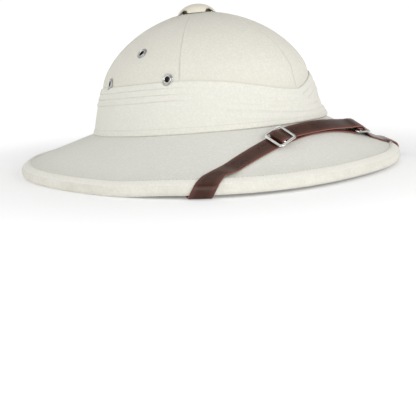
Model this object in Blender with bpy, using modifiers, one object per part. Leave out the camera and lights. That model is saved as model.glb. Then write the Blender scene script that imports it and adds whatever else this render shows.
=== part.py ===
"""Pith helmet with a pleated pugaree, six vent eyelets, a vented top button and a buckled chin strap.

Metres, +Z up, front towards -Y, the wearer's right towards -X. The origin is at the middle of the
helmet's footprint, on the surface that its rim rests on. Angles run round the helmet from the front
(0) over the wearer's right (90) to the back (180).
"""

from math import acos, cos, exp, hypot, pi, radians, sin

import bmesh
import bpy
from mathutils import Matrix, Vector

# Clearance between neighbouring pieces, and the number of facets round the helmet.
GAP = 0.0003
SECTORS = 60

# Rim and brim.
RIM_LENGTH = 0.338
RIM_WIDTH = 0.316
RIM_SQUARENESS = 2.3
EDGE_BULGE = 0.0016
BRIM_WALL = 0.003
BINDING_CLOTH = 0.001
FRONT_SPREAD = 0.35
FRONT_END = 0.2

# Crown, in its own frame, which leans back a little on the brim.
CROWN_LEAN = radians(3.6)
CROWN_SETBACK = -0.003
CROWN_WALL = 0.003
FOOT_LENGTH = 0.2206
FOOT_WIDTH = 0.1872
FOOT_HEIGHT = 0.0378
SHOULDER_LENGTH = 0.2014
SHOULDER_WIDTH = 0.1654
SHOULDER_HEIGHT = 0.0788
CROWN_HEIGHT = 0.137
DOME_RISE = 1.5
DOME_ROUNDNESS = 1.89
DOME_RINGS = 9

# Pugaree, the cloth band wound round the crown.
PUGAREE_WALL = 0.0022
PUGAREE_TOP = 0.0792
FRONT_DIP = 0.0175
DIP_SPREAD = radians(40)
DIP_TURN = radians(-5)
FRONT_TUCK = 0.0025
PLEAT_RELIEF = 0.0009
HEM_RELIEF = 0.0006
PLEATS = 4
PLEAT_ZONE = 0.42

# Vent button on top of the crown.
BUTTON_DIAMETER = 0.034
BUTTON_RISE = 0.0075
BUTTON_WALL = 0.002
BUTTON_POST = 0.0084
BUTTON_SKIRT_DROP = 0.0006
BUTTON_EDGE = 0.0015
BUTTON_FOOT = 0.0015
WINDOW_WIDTH = 0.011
WINDOW_HEIGHT = 0.0032

# Vent eyelets: angle from the front and height up the crown.
EYELETS = {
    "top": (radians(90.0), 0.1045),
    "front": (radians(68.2), 0.0814),
    "back": (radians(111.8), 0.0814),
}
EYELET_FLANGE = 0.0100
EYELET_BARREL = 0.0062
EYELET_BORE = 0.0048
EYELET_ROLL = 0.0009
EYELET_SOFT = 0.0003
EYELET_WASHER = 0.0084
WALL_CURVE_SLACK = 0.0006

# Chin strap and its two slide buckles.
STRAP_WIDTH = 0.014
STRAP_THICKNESS = 0.0014
STRAP_FRONT = 0.1222
STRAP_BOW = 0.006
STRAP_FLOOR_CLEARANCE = 0.0002
WRAP_SLACK = 0.0004
WRAP_LEAN = 0.75
PLAN_SHARE = 0.92  # width of the strap on the brim's slope, seen from above
RIM_BOW_SHARE = 0.6  # share of the bow reached where the strap meets the rim
BRIM_STEP = 0.015
BRIM_RUN_END = -0.086
BUCKLE_LENGTH = 0.0175
BUCKLE_WIRE = 0.0015
BUCKLE_CORNER = 0.0018
BAR_OFFSET = 0.002
BUCKLE_RIGHT_X = -0.0405
BUCKLE_LEFT_X = 0.059
LOOP_TAIL = 0.006
LOOP_CURL = 0.0042
LEFT_BUCKLE_TILT = 0.0026

# Hidden rivets that fasten the strap's ends inside the crown.
RIVET_SHANK = 0.003
RIVET_HEAD = 0.007
RIVET_HEAD_THICKNESS = 0.0012
RIVET_ANGLE = radians(91.9)
RIVET_HEIGHT = 0.0395

# The strap just clears the surface under the raised front of the rim.
FRONT_LIFT = STRAP_THICKNESS + 2 * GAP + WRAP_SLACK + STRAP_FLOOR_CLEARANCE

# Section of the binding, from its stitched edge on the brim, round the rim, to its turned-in hem.
# Columns: distance outwards from the rim's foot, height above it.
BINDING_SECTION = (
    (-0.0064, 0.0122),
    (-0.0026, 0.0103),
    (0.0003, 0.0082),
    (0.0016, 0.0056),
    (0.0015, 0.0022),
    (0.0002, 0.0),
    (-0.0044, 0.0),
    (-0.0050, 0.0055),
)
BOTTOM_OUTER, BOTTOM_INNER = 5, 6

COLOURS = {  # linear colour, roughness, metallic
    "cover_cloth": ((0.68, 0.67, 0.62), 0.9, 0.0),
    "pugaree_cloth": ((0.72, 0.70, 0.64), 0.9, 0.0),
    "binding_cloth": ((0.70, 0.69, 0.63), 0.9, 0.0),
    "button_cream": ((0.72, 0.68, 0.56), 0.5, 0.0),
    "strap_leather": ((0.085, 0.035, 0.022), 0.35, 0.0),
    "nickel": ((0.62, 0.61, 0.58), 0.25, 1.0),
}


def clear_scene():
    for item in list(bpy.data.objects):
        bpy.data.objects.remove(item, do_unlink=True)


def new_collection(name):
    collection = bpy.data.collections.new(name)
    bpy.context.scene.collection.children.link(collection)
    return collection


def material(name):
    colour, roughness, metallic = COLOURS[name]
    made = bpy.data.materials.get(name) or bpy.data.materials.new(name)
    made.use_nodes = True
    shader = made.node_tree.nodes["Principled BSDF"]
    shader.inputs["Base Color"].default_value = (*colour, 1.0)
    shader.inputs["Roughness"].default_value = roughness
    shader.inputs["Metallic"].default_value = metallic
    return made


def add_object(name, mesh, collection, finish=None, parent=None):
    made = bpy.data.objects.new(name, mesh)
    collection.objects.link(made)
    if finish:
        mesh.materials.append(material(finish))
    made.parent = parent
    return made


def shade(mesh, angle=radians(40)):
    mesh.shade_smooth()
    mesh.set_sharp_from_angle(angle=angle)


def loft(name, rings, run_closed=False, capped=False):
    """Mesh skinned over closed rings of points that all have the same count."""
    mesh = bpy.data.meshes.new(name)
    work = bmesh.new()
    rows = [[work.verts.new(point) for point in ring] for ring in rings]
    around = len(rings[0])
    for i in range(len(rows) - (0 if run_closed else 1)):
        here, after = rows[i], rows[(i + 1) % len(rows)]
        for j in range(around):
            k = (j + 1) % around
            work.faces.new((here[j], here[k], after[k], after[j]))
    if capped:
        work.faces.new(rows[0][::-1])
        work.faces.new(rows[-1])
    bmesh.ops.recalc_face_normals(work, faces=work.faces)
    work.to_mesh(mesh)
    work.free()
    return mesh


def flip_if_inward(mesh):
    """Turns an open shell's faces away from the helmet's middle."""
    work = bmesh.new()
    work.from_mesh(mesh)
    middle = Vector((0.0, 0.0, FOOT_HEIGHT))
    facing = sum(face.normal.dot(face.calc_center_median() - middle) for face in work.faces)
    if facing < 0:
        bmesh.ops.reverse_faces(work, faces=work.faces)
    work.to_mesh(mesh)
    work.free()


def solidify(target, thickness):
    modifier = target.modifiers.new("wall", "SOLIDIFY")
    modifier.thickness = thickness
    modifier.offset = -1.0
    modifier.use_even_offset = True
    modifier.use_rim = True


def boolean(target, cutter, operation="DIFFERENCE"):
    modifier = target.modifiers.new(cutter.name, "BOOLEAN")
    modifier.operation = operation
    modifier.object = cutter
    modifier.solver = "EXACT"


def signed_power(value, exponent):
    return abs(value) ** exponent * (1 if value >= 0 else -1)


def oval(angle, half_length, half_width, height, squareness=2.0):
    """Point on an oval ring; squareness 2 is an ellipse."""
    power = 2.0 / squareness
    across = -half_width * signed_power(sin(angle), power)
    along = -half_length * signed_power(cos(angle), power)
    return Vector((across, along, height))


def angles(count=SECTORS):
    return [2 * pi * step / count for step in range(count)]


def blend(start, end, share):
    return start + (end - start) * share


def smooth_step(value):
    value = min(max(value, 0.0), 1.0)
    return value * value * (3.0 - 2.0 * value)


# Crown


def crown_half_sizes(height):
    """Half length and half width of the crown's outer face at a height in the crown's frame."""
    if height > SHOULDER_HEIGHT:
        share = (height - SHOULDER_HEIGHT) / (CROWN_HEIGHT - SHOULDER_HEIGHT)
        size = (1.0 - min(share, 1.0) ** DOME_RISE) ** (1.0 / DOME_ROUNDNESS)
        return SHOULDER_LENGTH / 2 * size, SHOULDER_WIDTH / 2 * size
    share = (SHOULDER_HEIGHT - height) / (SHOULDER_HEIGHT - FOOT_HEIGHT)
    return (
        blend(SHOULDER_LENGTH, FOOT_LENGTH, share) / 2,
        blend(SHOULDER_WIDTH, FOOT_WIDTH, share) / 2,
    )


def crown_point(angle, height, outwards=0.0):
    """Point at the crown's outer face, or the given distance outside it in plan."""
    half_length, half_width = crown_half_sizes(height)
    return oval(angle, half_length + outwards, half_width + outwards, height)


def crown_normal(angle, height):
    step = 1e-4
    round_it = crown_point(angle + step, height) - crown_point(angle - step, height)
    up_it = crown_point(angle, height + step) - crown_point(angle, height - step)
    return up_it.cross(round_it).normalized()


def crown_matrix():
    return Matrix.Translation((0.0, CROWN_SETBACK, 0.0)) @ Matrix.Rotation(-CROWN_LEAN, 4, "X")


def vent_scale():
    """The crown's vent hole, as a share of the shoulder's size."""
    return (BUTTON_POST / 2 + 3 * GAP) / (SHOULDER_WIDTH / 2)


def make_crown(parts, frame):
    foot = FOOT_HEIGHT - BRIM_WALL - GAP
    rings = [[crown_point(angle, foot) for angle in angles()]]
    last = acos(vent_scale() ** (DOME_ROUNDNESS / 2))
    for step in range(DOME_RINGS):
        turn = last * step / (DOME_RINGS - 1)
        size = cos(turn) ** (2.0 / DOME_ROUNDNESS)
        share = sin(turn) ** (2.0 / DOME_RISE)
        height = blend(SHOULDER_HEIGHT, CROWN_HEIGHT, share)
        half_length, half_width = SHOULDER_LENGTH / 2 * size, SHOULDER_WIDTH / 2 * size
        rings.append([oval(angle, half_length, half_width, height) for angle in angles()])
    mesh = loft("crown", rings)
    flip_if_inward(mesh)
    shade(mesh)
    crown = add_object("crown", mesh, parts, "cover_cloth", frame)
    solidify(crown, CROWN_WALL)
    return crown


# Rim, brim and binding


def front_lift(angle):
    """The rim's front curves up to let the strap pass under it."""
    return FRONT_LIFT * smooth_step((cos(angle) - FRONT_END) / FRONT_SPREAD)


def rim_point(angle, out, up):
    half_length = RIM_LENGTH / 2 - EDGE_BULGE + out
    half_width = RIM_WIDTH / 2 - EDGE_BULGE + out
    return oval(angle, half_length, half_width, up + front_lift(angle), RIM_SQUARENESS)


def offset_section(section, distance):
    """Section moved along its outward normals, with mitred corners."""
    normals = []
    for (out_a, up_a), (out_b, up_b) in zip(section, section[1:]):
        run = Vector((-(up_b - up_a), out_b - out_a))
        normals.append(run.normalized())
    moved = []
    for index, (out, up) in enumerate(section):
        before = normals[max(index - 1, 0)]
        after = normals[min(index, len(normals) - 1)]
        mitre = (before + after).normalized()
        reach = distance / mitre.dot(after)
        moved.append((out + mitre.x * reach, up + mitre.y * reach))
    return moved


def brim_foot(angle, drop=0.0):
    """Where the brim's top face meets the crown, or a point the given drop below it."""
    return crown_matrix() @ crown_point(angle, FOOT_HEIGHT - drop, GAP)


def brim_edge_row():
    """Outer end of the brim's slope, tucked under the binding's stitched edge."""
    return offset_section(BINDING_SECTION, -(BINDING_CLOTH + GAP))[0]


def brim_top(angle, share):
    return blend(brim_foot(angle), rim_point(angle, *brim_edge_row()), share)


def make_brim(parts):
    lip_outer = offset_section(BINDING_SECTION, -(BINDING_CLOTH + GAP))[:BOTTOM_OUTER]
    lip_inner = offset_section(BINDING_SECTION, -(BINDING_CLOTH + GAP + BRIM_WALL))[:BOTTOM_OUTER]
    rings = [[brim_top(angle, share) for angle in angles()] for share in (0.0, 0.5)]
    rings += [[rim_point(angle, *row) for angle in angles()] for row in lip_outer]
    rings += [[rim_point(angle, *row) for angle in angles()] for row in reversed(lip_inner)]
    drop = Vector((0.0, 0.0, BRIM_WALL + GAP))
    rings.append([brim_top(angle, 0.5) - drop for angle in angles()])
    rings.append([brim_foot(angle, BRIM_WALL) for angle in angles()])
    mesh = loft("brim", rings, run_closed=True)
    shade(mesh)
    return add_object("brim", mesh, parts, "cover_cloth")


def make_binding(parts):
    rings = [[rim_point(angle, *row) for angle in angles()] for row in BINDING_SECTION]
    mesh = loft("rim_binding", rings)
    flip_if_inward(mesh)
    shade(mesh)
    binding = add_object("rim_binding", mesh, parts, "binding_cloth")
    solidify(binding, BINDING_CLOTH)
    return binding


# Pugaree


def pugaree_top(angle):
    """Height of the pugaree's top edge, which dips to a V at the front."""
    turn = (angle - DIP_TURN + pi) % (2 * pi) - pi
    return PUGAREE_TOP - FRONT_DIP * exp(-((turn / DIP_SPREAD) ** 2)) + FRONT_TUCK * cos(angle)


def pugaree_rows():
    """Rows of the outer face. Columns: share of the way down, relief over the plain cloth."""
    rows = []
    step = PLEAT_ZONE / PLEATS
    for pleat in range(PLEATS):
        rows.append((pleat * step, 0.15 * PLEAT_RELIEF))
        rows.append(((pleat + 0.86) * step, PLEAT_RELIEF))
    return rows + [
        (PLEAT_ZONE, 0.1 * PLEAT_RELIEF),
        (0.70, 0.4 * PLEAT_RELIEF),
        (0.90, 0.2 * PLEAT_RELIEF),
        (1.0, HEM_RELIEF),
    ]


def make_pugaree(parts, frame):
    bottom = FOOT_HEIGHT + 2 * GAP

    def ring(share, out, lift=0.0):
        points = []
        for angle in angles():
            height = blend(pugaree_top(angle), bottom, share) + lift
            points.append(crown_point(angle, height, out))
        return points

    rings = [ring(share, GAP + PUGAREE_WALL + relief) for share, relief in pugaree_rows()]
    rings += [ring(share, GAP) for share in (1.0, 0.5, 0.0)]
    mesh = loft("pugaree", rings, run_closed=True)
    shade(mesh, radians(25))
    return add_object("pugaree", mesh, parts, "pugaree_cloth", frame)


# Turned pieces


def turned(name, profile, steps, collection, finish, matrix, parent):
    """Solid of revolution; the profile of (radius, height) runs from top to bottom down the outer side."""
    mesh = bpy.data.meshes.new(name)
    points = [(radius, 0.0, height) for radius, height in profile]
    on_axis = profile[0][0] == 0.0
    edges = [(i, i + 1) for i in range(len(points) - 1)]
    if not on_axis:
        edges.append((len(points) - 1, 0))
    mesh.from_pydata(points, edges, [])
    made = add_object(name, mesh, collection, finish, parent)
    made.matrix_local = matrix
    screw = made.modifiers.new("turned", "SCREW")
    screw.axis = "Z"
    screw.angle = 2 * pi
    screw.steps = steps
    screw.render_steps = steps
    screw.use_merge_vertices = True
    screw.merge_threshold = 1e-5
    screw.use_smooth_shade = True
    return made


def facing(point, normal):
    """Matrix that puts +Z along the normal at a point."""
    return Matrix.Translation(point) @ normal.to_track_quat("Z", "Y").to_matrix().to_4x4()


def cylinder(name, radius, length, sides, matrix, collection, parent=None):
    """Plain cutter, centred on its matrix."""
    mesh = bpy.data.meshes.new(name)
    work = bmesh.new()
    bmesh.ops.create_cone(
        work, cap_ends=True, segments=sides, radius1=radius, radius2=radius, depth=length
    )
    work.to_mesh(mesh)
    work.free()
    return cutter_object(name, mesh, matrix, collection, parent)


def cutter_object(name, mesh, matrix, collection, parent=None):
    made = add_object(name, mesh, collection, None, parent)
    made.matrix_local = matrix
    made.hide_render = True
    made.display_type = "WIRE"
    return made


def make_button(parts, cutters, frame):
    radius = BUTTON_DIAMETER / 2
    post = BUTTON_POST / 2
    skirt = -BUTTON_SKIRT_DROP
    inner = radius - BUTTON_WALL
    ceiling = BUTTON_RISE - BUTTON_WALL
    profile = [(0.0, BUTTON_RISE)]
    edge = skirt + BUTTON_EDGE
    for turn in (18, 36, 54, 72, 90):
        across, up = sin(radians(turn)), cos(radians(turn))
        profile.append((radius * across, blend(edge, BUTTON_RISE, up)))
    profile += [(radius, skirt), (inner, skirt), (inner, edge)]
    for turn in (70, 45):
        across, up = sin(radians(turn)), cos(radians(turn))
        profile.append((inner * across, blend(edge, ceiling, up)))
    bottom = -CROWN_WALL - BUTTON_FOOT
    profile += [(post, ceiling), (post, bottom), (0.0, bottom)]
    matrix = Matrix.Translation((0.0, 0.0, CROWN_HEIGHT))
    button = turned("vent_button", profile, 20, parts, "button_cream", matrix, frame)
    reach = radius - post
    for index in range(4):
        turn = Matrix.Rotation(index * pi / 2, 4, "Z")
        mesh = bpy.data.meshes.new(f"window_{index}")
        work = bmesh.new()
        bmesh.ops.create_cube(work, size=1.0)
        size = Vector((reach, WINDOW_WIDTH, WINDOW_HEIGHT * 2))
        bmesh.ops.scale(work, verts=work.verts, vec=size)
        place = Vector((post + GAP + reach, 0.0, skirt))
        bmesh.ops.translate(work, verts=work.verts, vec=place)
        work.to_mesh(mesh)
        work.free()
        window = cutter_object(f"window_{index}", mesh, matrix @ turn, cutters, frame)
        boolean(button, window)
    return button


def make_eyelets(parts, cutters, frame, crown, pugaree):
    flange, barrel, bore = EYELET_FLANGE / 2, EYELET_BARREL / 2, EYELET_BORE / 2
    roll, soft, washer = EYELET_ROLL, EYELET_SOFT, EYELET_WASHER / 2
    inside = -CROWN_WALL - GAP - WALL_CURVE_SLACK
    profile = [
        (bore + soft, GAP + 0.5 * roll),
        ((bore + flange) / 2, GAP + roll + soft),
        (flange - soft, GAP + 0.7 * roll),
        (flange, GAP),
        (barrel, GAP),
        (barrel, inside),
        (washer, inside),
        (washer - soft, inside - roll),
        (bore, inside - roll),
    ]
    for side, sign in (("right", 1), ("left", -1)):
        for name, (angle, height) in EYELETS.items():
            label = f"vent_eyelet_{side}_{name}"
            place = facing(crown_point(sign * angle, height), crown_normal(sign * angle, height))
            turned(label, profile, 12, parts, "nickel", place, frame)
            hole = cylinder(f"hole_{label}", barrel + GAP, 0.02, 12, place, cutters, frame)
            boolean(crown, hole)
            if name != "top":
                notch = cylinder(f"notch_{label}", flange + 2 * GAP, 0.012, 18, place, cutters, frame)
                boolean(pugaree, notch)


# Chin strap


def strap_line(x):
    """The strap's middle, seen from above, bows a little forward."""
    return -STRAP_FRONT + STRAP_BOW * (x / (RIM_WIDTH / 2)) ** 2


def brim_place(x, y):
    """Point of the brim's top face above (x, y), for the brim's front half, and the normal there."""
    low, high = radians(-89), radians(89)
    for _ in range(40):
        angle = (low + high) / 2
        foot, edge = brim_top(angle, 0.0), brim_top(angle, 1.0)
        share = (y - foot.y) / (edge.y - foot.y)
        if blend(foot.x, edge.x, share) > x:
            low = angle
        else:
            high = angle
    point = blend(foot, edge, share)
    beside = brim_top(angle + 0.01, share) - brim_top(angle - 0.01, share)
    normal = (edge - foot).cross(beside).normalized()
    if normal.z < 0:
        normal = -normal
    return point, normal


def strap_frame(x):
    """Point under the strap's middle, and its along, across and normal directions there."""
    step = 0.002
    point, normal = brim_place(x, strap_line(x))
    before = brim_place(x - step, strap_line(x - step))[0]
    after = brim_place(x + step, strap_line(x + step))[0]
    along = (after - before).normalized()
    across = normal.cross(along).normalized()
    return point, along, across, normal


def run_sections(path):
    """Strap sections over the brim, from a path of (x, height of the leather's middle)."""
    frames = [strap_frame(x) for x, _ in path]
    middles = [point + normal * path[i][1] for i, (point, _, _, normal) in enumerate(frames)]
    heading = 1 if path[-1][0] > path[0][0] else -1
    sections = []
    for i, (_, _, across, _) in enumerate(frames):
        before, after = middles[max(i - 1, 0)], middles[min(i + 1, len(middles) - 1)]
        ahead = (after - before).normalized() * heading
        up = ahead.cross(across).normalized()
        sections.append((middles[i], across, up))
    return sections


def corners(middle, across, up):
    """Four corners of a strap section: back edge inner and outer, front edge outer and inner."""
    wide, thick = across * STRAP_WIDTH / 2, up * STRAP_THICKNESS / 2
    return [middle + wide - thick, middle + wide + thick, middle - wide + thick, middle - wide - thick]


def brim_rails(x_back, x_front, side, rise):
    """Section over the brim, raised by rise, with its two edges at different x."""
    half = STRAP_WIDTH / 2 * PLAN_SHARE
    found = []
    for x, offset in ((x_back, half), (x_front, -half)):
        point, normal = brim_place(side * x, strap_line(x) + offset)
        low = GAP + rise
        found.append((point + normal * low, point + normal * (low + STRAP_THICKNESS)))
    (back_in, back_out), (front_in, front_out) = found
    return [back_in, back_out, front_out, front_in]


def rim_crossing(offset):
    """Angle at which a strap edge reaches the binding's stitched line."""
    out = BINDING_SECTION[0][0]
    half_length = RIM_LENGTH / 2 - EDGE_BULGE + out
    share = (STRAP_FRONT - STRAP_BOW * RIM_BOW_SHARE - offset) / half_length
    return acos(share ** (RIM_SQUARENESS / 2))


def rim_sections(side):
    """Sections that wrap the rim, from the stitched line on top to the hem below."""
    inner = offset_section(BINDING_SECTION, GAP + WRAP_SLACK)
    outer = offset_section(BINDING_SECTION, GAP + WRAP_SLACK + STRAP_THICKNESS)
    half = STRAP_WIDTH / 2 * PLAN_SHARE
    back, front = rim_crossing(half), rim_crossing(-half)
    sections = []
    for row in range(BOTTOM_INNER + 1):
        if row:
            step = hypot(
                BINDING_SECTION[row][0] - BINDING_SECTION[row - 1][0],
                BINDING_SECTION[row][1] - BINDING_SECTION[row - 1][1],
            )
            back += WRAP_LEAN * step / (RIM_LENGTH / 2)
            front += WRAP_LEAN * step / (RIM_LENGTH / 2)
        sections.append(
            [
                rim_point(side * back, *inner[row]),
                rim_point(side * back, *outer[row]),
                rim_point(side * front, *outer[row]),
                rim_point(side * front, *inner[row]),
            ]
        )
    return sections


# Where the strap's hidden end lies inside the crown. Columns: angle and height of its lower edge.
ANCHOR_ROWS = (
    (radians(80.0), 0.0190),
    (radians(88.0), 0.0270),
    (radians(94.0), 0.0330),
    (radians(99.0), 0.0380),
)
ANCHOR_LEAN = radians(4.2)
ANCHOR_RISE = 0.0119


def anchor_sections(side):
    frame = crown_matrix()
    sections = []
    for angle, height in ANCHOR_ROWS:
        points = []
        for turn, rise in ((angle, height), (angle - ANCHOR_LEAN, height + ANCHOR_RISE)):
            for depth in (CROWN_WALL + GAP, CROWN_WALL + GAP + STRAP_THICKNESS):
                points.append(frame @ crown_point(side * turn, rise, -depth))
        low_in, low_out, high_in, high_out = points
        sections.append([low_in, low_out, high_out, high_in])
    return sections


def under_sections(start, end, count=4):
    """Straight hidden stretch between two sections."""
    between = []
    for step in range(1, count):
        share = step / count
        between.append([blend(a, b, share) for a, b in zip(start, end)])
    return between


def strap_solid(name, side, top_run, parts):
    """A strap from its buckle loop, over the rim, to its end inside the crown."""
    sections = [corners(*section) for section in top_run]
    last_x = abs(sections[-1][0].x)
    rim = rim_sections(side)
    back_x, front_x = abs(rim[0][0].x), abs(rim[0][3].x)
    for share, rise in ((0.35, 0.0), (0.75, BINDING_CLOTH + 2 * GAP)):
        back, front = blend(last_x, back_x, share), blend(last_x, front_x, share)
        sections.append(brim_rails(back, front, -side, rise))
    anchor = anchor_sections(side)
    sections += rim
    sections += under_sections(rim[-1], anchor[0])
    sections += anchor
    mesh = loft(name, sections, capped=True)
    shade(mesh, radians(50))
    return add_object(name, mesh, parts, "strap_leather")


def loop_path(bar_x, bar_height, away, over):
    """Leather's middle round a buckle's bar; away is the x direction in which the strap leaves."""
    reach = BUCKLE_WIRE / 2 + GAP + STRAP_THICKNESS / 2
    path = []
    for turn in range(0, 181, 30):
        across, up = sin(radians(turn)), cos(radians(turn))
        path.append((bar_x - away * reach * across, bar_height + over * reach * up))
    return path


def buckle_heights():
    """Heights over the brim of the layers and bars, worked out from the leather and the wire."""
    low = GAP + STRAP_THICKNESS / 2
    second = low + STRAP_THICKNESS + GAP
    third = second + STRAP_THICKNESS + GAP
    loop = BUCKLE_WIRE / 2 + GAP + STRAP_THICKNESS / 2
    half_leather, half_wire = STRAP_THICKNESS / 2, BUCKLE_WIRE / 2
    right_bar = second + loop
    right_inner = third + half_leather + 1.5 * GAP + half_wire
    half = BUCKLE_LENGTH / 2 - half_wire
    rise = (right_inner - right_bar) / (half + BAR_OFFSET)
    right_outer = right_bar - rise * (half - BAR_OFFSET)
    left_inner = low + half_leather + 2.5 * GAP + half_wire
    left_outer = left_inner + LEFT_BUCKLE_TILT
    left_bar = left_inner + (left_outer - left_inner) * (half - BAR_OFFSET) / (2 * half)
    return {
        "low": low, "second": second, "third": third, "loop": loop,
        "right_bar": right_bar, "right_inner": right_inner, "right_outer": right_outer,
        "left_bar": left_bar, "left_inner": left_inner, "left_outer": left_outer,
    }


# Lower strap past its loop. Columns: distance from the left buckle's bar, height over the lowest layer.
LOWER_RUN = ((0.006, 0.0002), (0.009, 0.0), (0.02, 0.0))

# Upper strap between the buckles. Columns: distance from the right buckle's bar, layer, height over it.
UPPER_RUN = (
    (0.005, "third", 0.0009),
    (0.0095, "third", 0.0001),
    (0.0148, "third", 0.0),
    (0.026, "third", -0.0009),
    (0.040, "second", 0.0003),
    (0.056, "second", 0.0007),
    (0.072, "second", 0.0016),
)

# Upper strap over the left buckle's loop. Columns: distance from that bar, drop below the loop's top.
OVER_LOOP = ((-0.013, 0.0021), (-0.006, 0.0005), (0.0, 0.0))

# Upper strap past the left buckle's outer bar. Columns: distance, share of the drop to the brim.
AFTER_BAR = ((0.0, 0.0), (0.005, 0.55), (0.011, 1.0), (0.022, 1.0))


def right_strap_run():
    """Lower strap: from its loop on the left buckle to the right side of the rim."""
    high = buckle_heights()
    bar_x = BUCKLE_LEFT_X - BAR_OFFSET
    path = [(bar_x - LOOP_CURL, high["left_bar"] + 0.8 * high["loop"])]
    path += loop_path(bar_x, high["left_bar"], -1, 1)
    for distance, lift in LOWER_RUN:
        path.append((bar_x - distance, high["low"] + lift))
    x = path[-1][0] - BRIM_STEP
    while x > BRIM_RUN_END:
        path.append((x, high["low"]))
        x -= BRIM_STEP
    return path


def left_strap_run():
    """Upper strap: from its loop on the right buckle to the left side of the rim."""
    high = buckle_heights()
    bar_x = BUCKLE_RIGHT_X - BAR_OFFSET
    half = BUCKLE_LENGTH / 2
    over = high["left_bar"] + 2 * high["loop"] + GAP
    left_bar_x = BUCKLE_LEFT_X - BAR_OFFSET
    outer_x = BUCKLE_LEFT_X + half - BUCKLE_WIRE / 2
    under = high["left_outer"] - BUCKLE_WIRE / 2 - 1.5 * GAP - STRAP_THICKNESS / 2
    path = [(bar_x + half + LOOP_TAIL, high["second"]), (bar_x + 0.006, high["second"])]
    path += reversed(loop_path(bar_x, high["right_bar"], 1, 1))
    for distance, layer, lift in UPPER_RUN:
        path.append((bar_x + distance, high[layer] + lift))
    for distance, drop in OVER_LOOP:
        path.append((left_bar_x + distance, over - drop))
    path.append((blend(left_bar_x, outer_x, 0.5), blend(over, under, 0.4)))
    for distance, share in AFTER_BAR:
        path.append((outer_x + distance, blend(under, high["low"], share)))
    return path


def make_straps(parts):
    right = strap_solid("chin_strap_right", 1, run_sections(right_strap_run()), parts)
    left = strap_solid("chin_strap_left", -1, run_sections(left_strap_run()), parts)
    return right, left


# Buckles


def buckle_outline(half_along, half_across):
    """Middle line of the wire frame, with rounded corners."""
    points = []
    for index, (sign_x, sign_y) in enumerate(((1, 1), (-1, 1), (-1, -1), (1, -1))):
        centre = Vector((sign_x * (half_along - BUCKLE_CORNER), sign_y * (half_across - BUCKLE_CORNER)))
        for part in (0, 45, 90):
            turn = radians(index * 90 + part)
            points.append(centre + BUCKLE_CORNER * Vector((cos(turn), sin(turn))))
    return points


def make_buckle(name, x, inner, outer, bar, bar_x, side, parts, cutters):
    """Wire frame with a middle bar, tilted between the heights of its two end bars."""
    point, along, across, normal = strap_frame(x)
    half_along = BUCKLE_LENGTH / 2 - BUCKLE_WIRE / 2
    half_across = STRAP_WIDTH / 2 + 2 * GAP + BUCKLE_WIRE / 2
    tilt_line = along * side * 2 * half_along + normal * (outer - inner)
    tilt_line.normalize()
    middle = point + normal * (inner + outer) / 2
    upright = tilt_line.cross(across).normalized()
    sides = 8
    rings = []
    outline = buckle_outline(half_along, half_across)
    for index, spot in enumerate(outline):
        before, after = outline[index - 1], outline[(index + 1) % len(outline)]
        run = (after - before).normalized()
        sideways = tilt_line * run.y - across * run.x
        centre = middle + tilt_line * spot.x + across * spot.y
        ring = []
        for step in range(sides):
            turn = 2 * pi * (step + 0.5) / sides
            ring.append(
                centre + (sideways * cos(turn) + upright * sin(turn)) * BUCKLE_WIRE / 2
            )
        rings.append(ring)
    mesh = loft(name, rings, run_closed=True)
    shade(mesh)
    frame = add_object(name, mesh, parts, "nickel")
    bar_point, _, bar_across, bar_normal = strap_frame(bar_x)
    place = facing(bar_point + bar_normal * bar, bar_across)
    bar_object = cylinder(
        f"bar_{name}", BUCKLE_WIRE / 2 * 0.96, 2 * half_across, 10, place, cutters
    )
    boolean(frame, bar_object, "UNION")
    return frame


def make_buckles(parts, cutters):
    high = buckle_heights()
    make_buckle(
        "buckle_right", BUCKLE_RIGHT_X, high["right_inner"], high["right_outer"],
        high["right_bar"], BUCKLE_RIGHT_X - BAR_OFFSET, -1, parts, cutters,
    )
    make_buckle(
        "buckle_left", BUCKLE_LEFT_X, high["left_inner"], high["left_outer"],
        high["left_bar"], BUCKLE_LEFT_X - BAR_OFFSET, 1, parts, cutters,
    )


# Rivets


def make_rivets(parts, cutters, frame, crown, straps):
    shank, head = RIVET_SHANK / 2, RIVET_HEAD / 2
    face = -CROWN_WALL - 2 * GAP - STRAP_THICKNESS
    profile = [
        (0.0, -GAP),
        (shank, -GAP),
        (shank, face),
        (head, face),
        (head * 0.9, face - RIVET_HEAD_THICKNESS),
        (0.0, face - RIVET_HEAD_THICKNESS),
    ]
    for side, sign, strap in (("right", 1, straps[0]), ("left", -1, straps[1])):
        angle = sign * RIVET_ANGLE
        place = facing(crown_point(angle, RIVET_HEIGHT), crown_normal(angle, RIVET_HEIGHT))
        turned(f"strap_rivet_{side}", profile, 12, parts, "nickel", place, frame)
        hole = cylinder(f"hole_rivet_{side}", shank + GAP, 0.02, 12, place, cutters, frame)
        boolean(crown, hole)
        boolean(strap, hole)


def main():
    clear_scene()
    parts = new_collection("pith_helmet")
    cutters = new_collection("cutters")
    frame = bpy.data.objects.new("crown_frame", None)
    parts.objects.link(frame)
    frame.matrix_world = crown_matrix()
    crown = make_crown(parts, frame)
    make_brim(parts)
    make_binding(parts)
    pugaree = make_pugaree(parts, frame)
    make_button(parts, cutters, frame)
    make_eyelets(parts, cutters, frame, crown, pugaree)
    straps = make_straps(parts)
    make_buckles(parts, cutters)
    make_rivets(parts, cutters, frame, crown, straps)


main()
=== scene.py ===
"""Worn pith helmet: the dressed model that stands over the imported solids.

Metres, +Z up, front towards -Y, the wearer's right towards -X. Angles run round the helmet from the
front (0) over the wearer's right (90) to the back (180).
"""

from math import acos, cos, pi, radians, sin

import bpy
import numpy as np
from mathutils import Matrix, Vector


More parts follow.
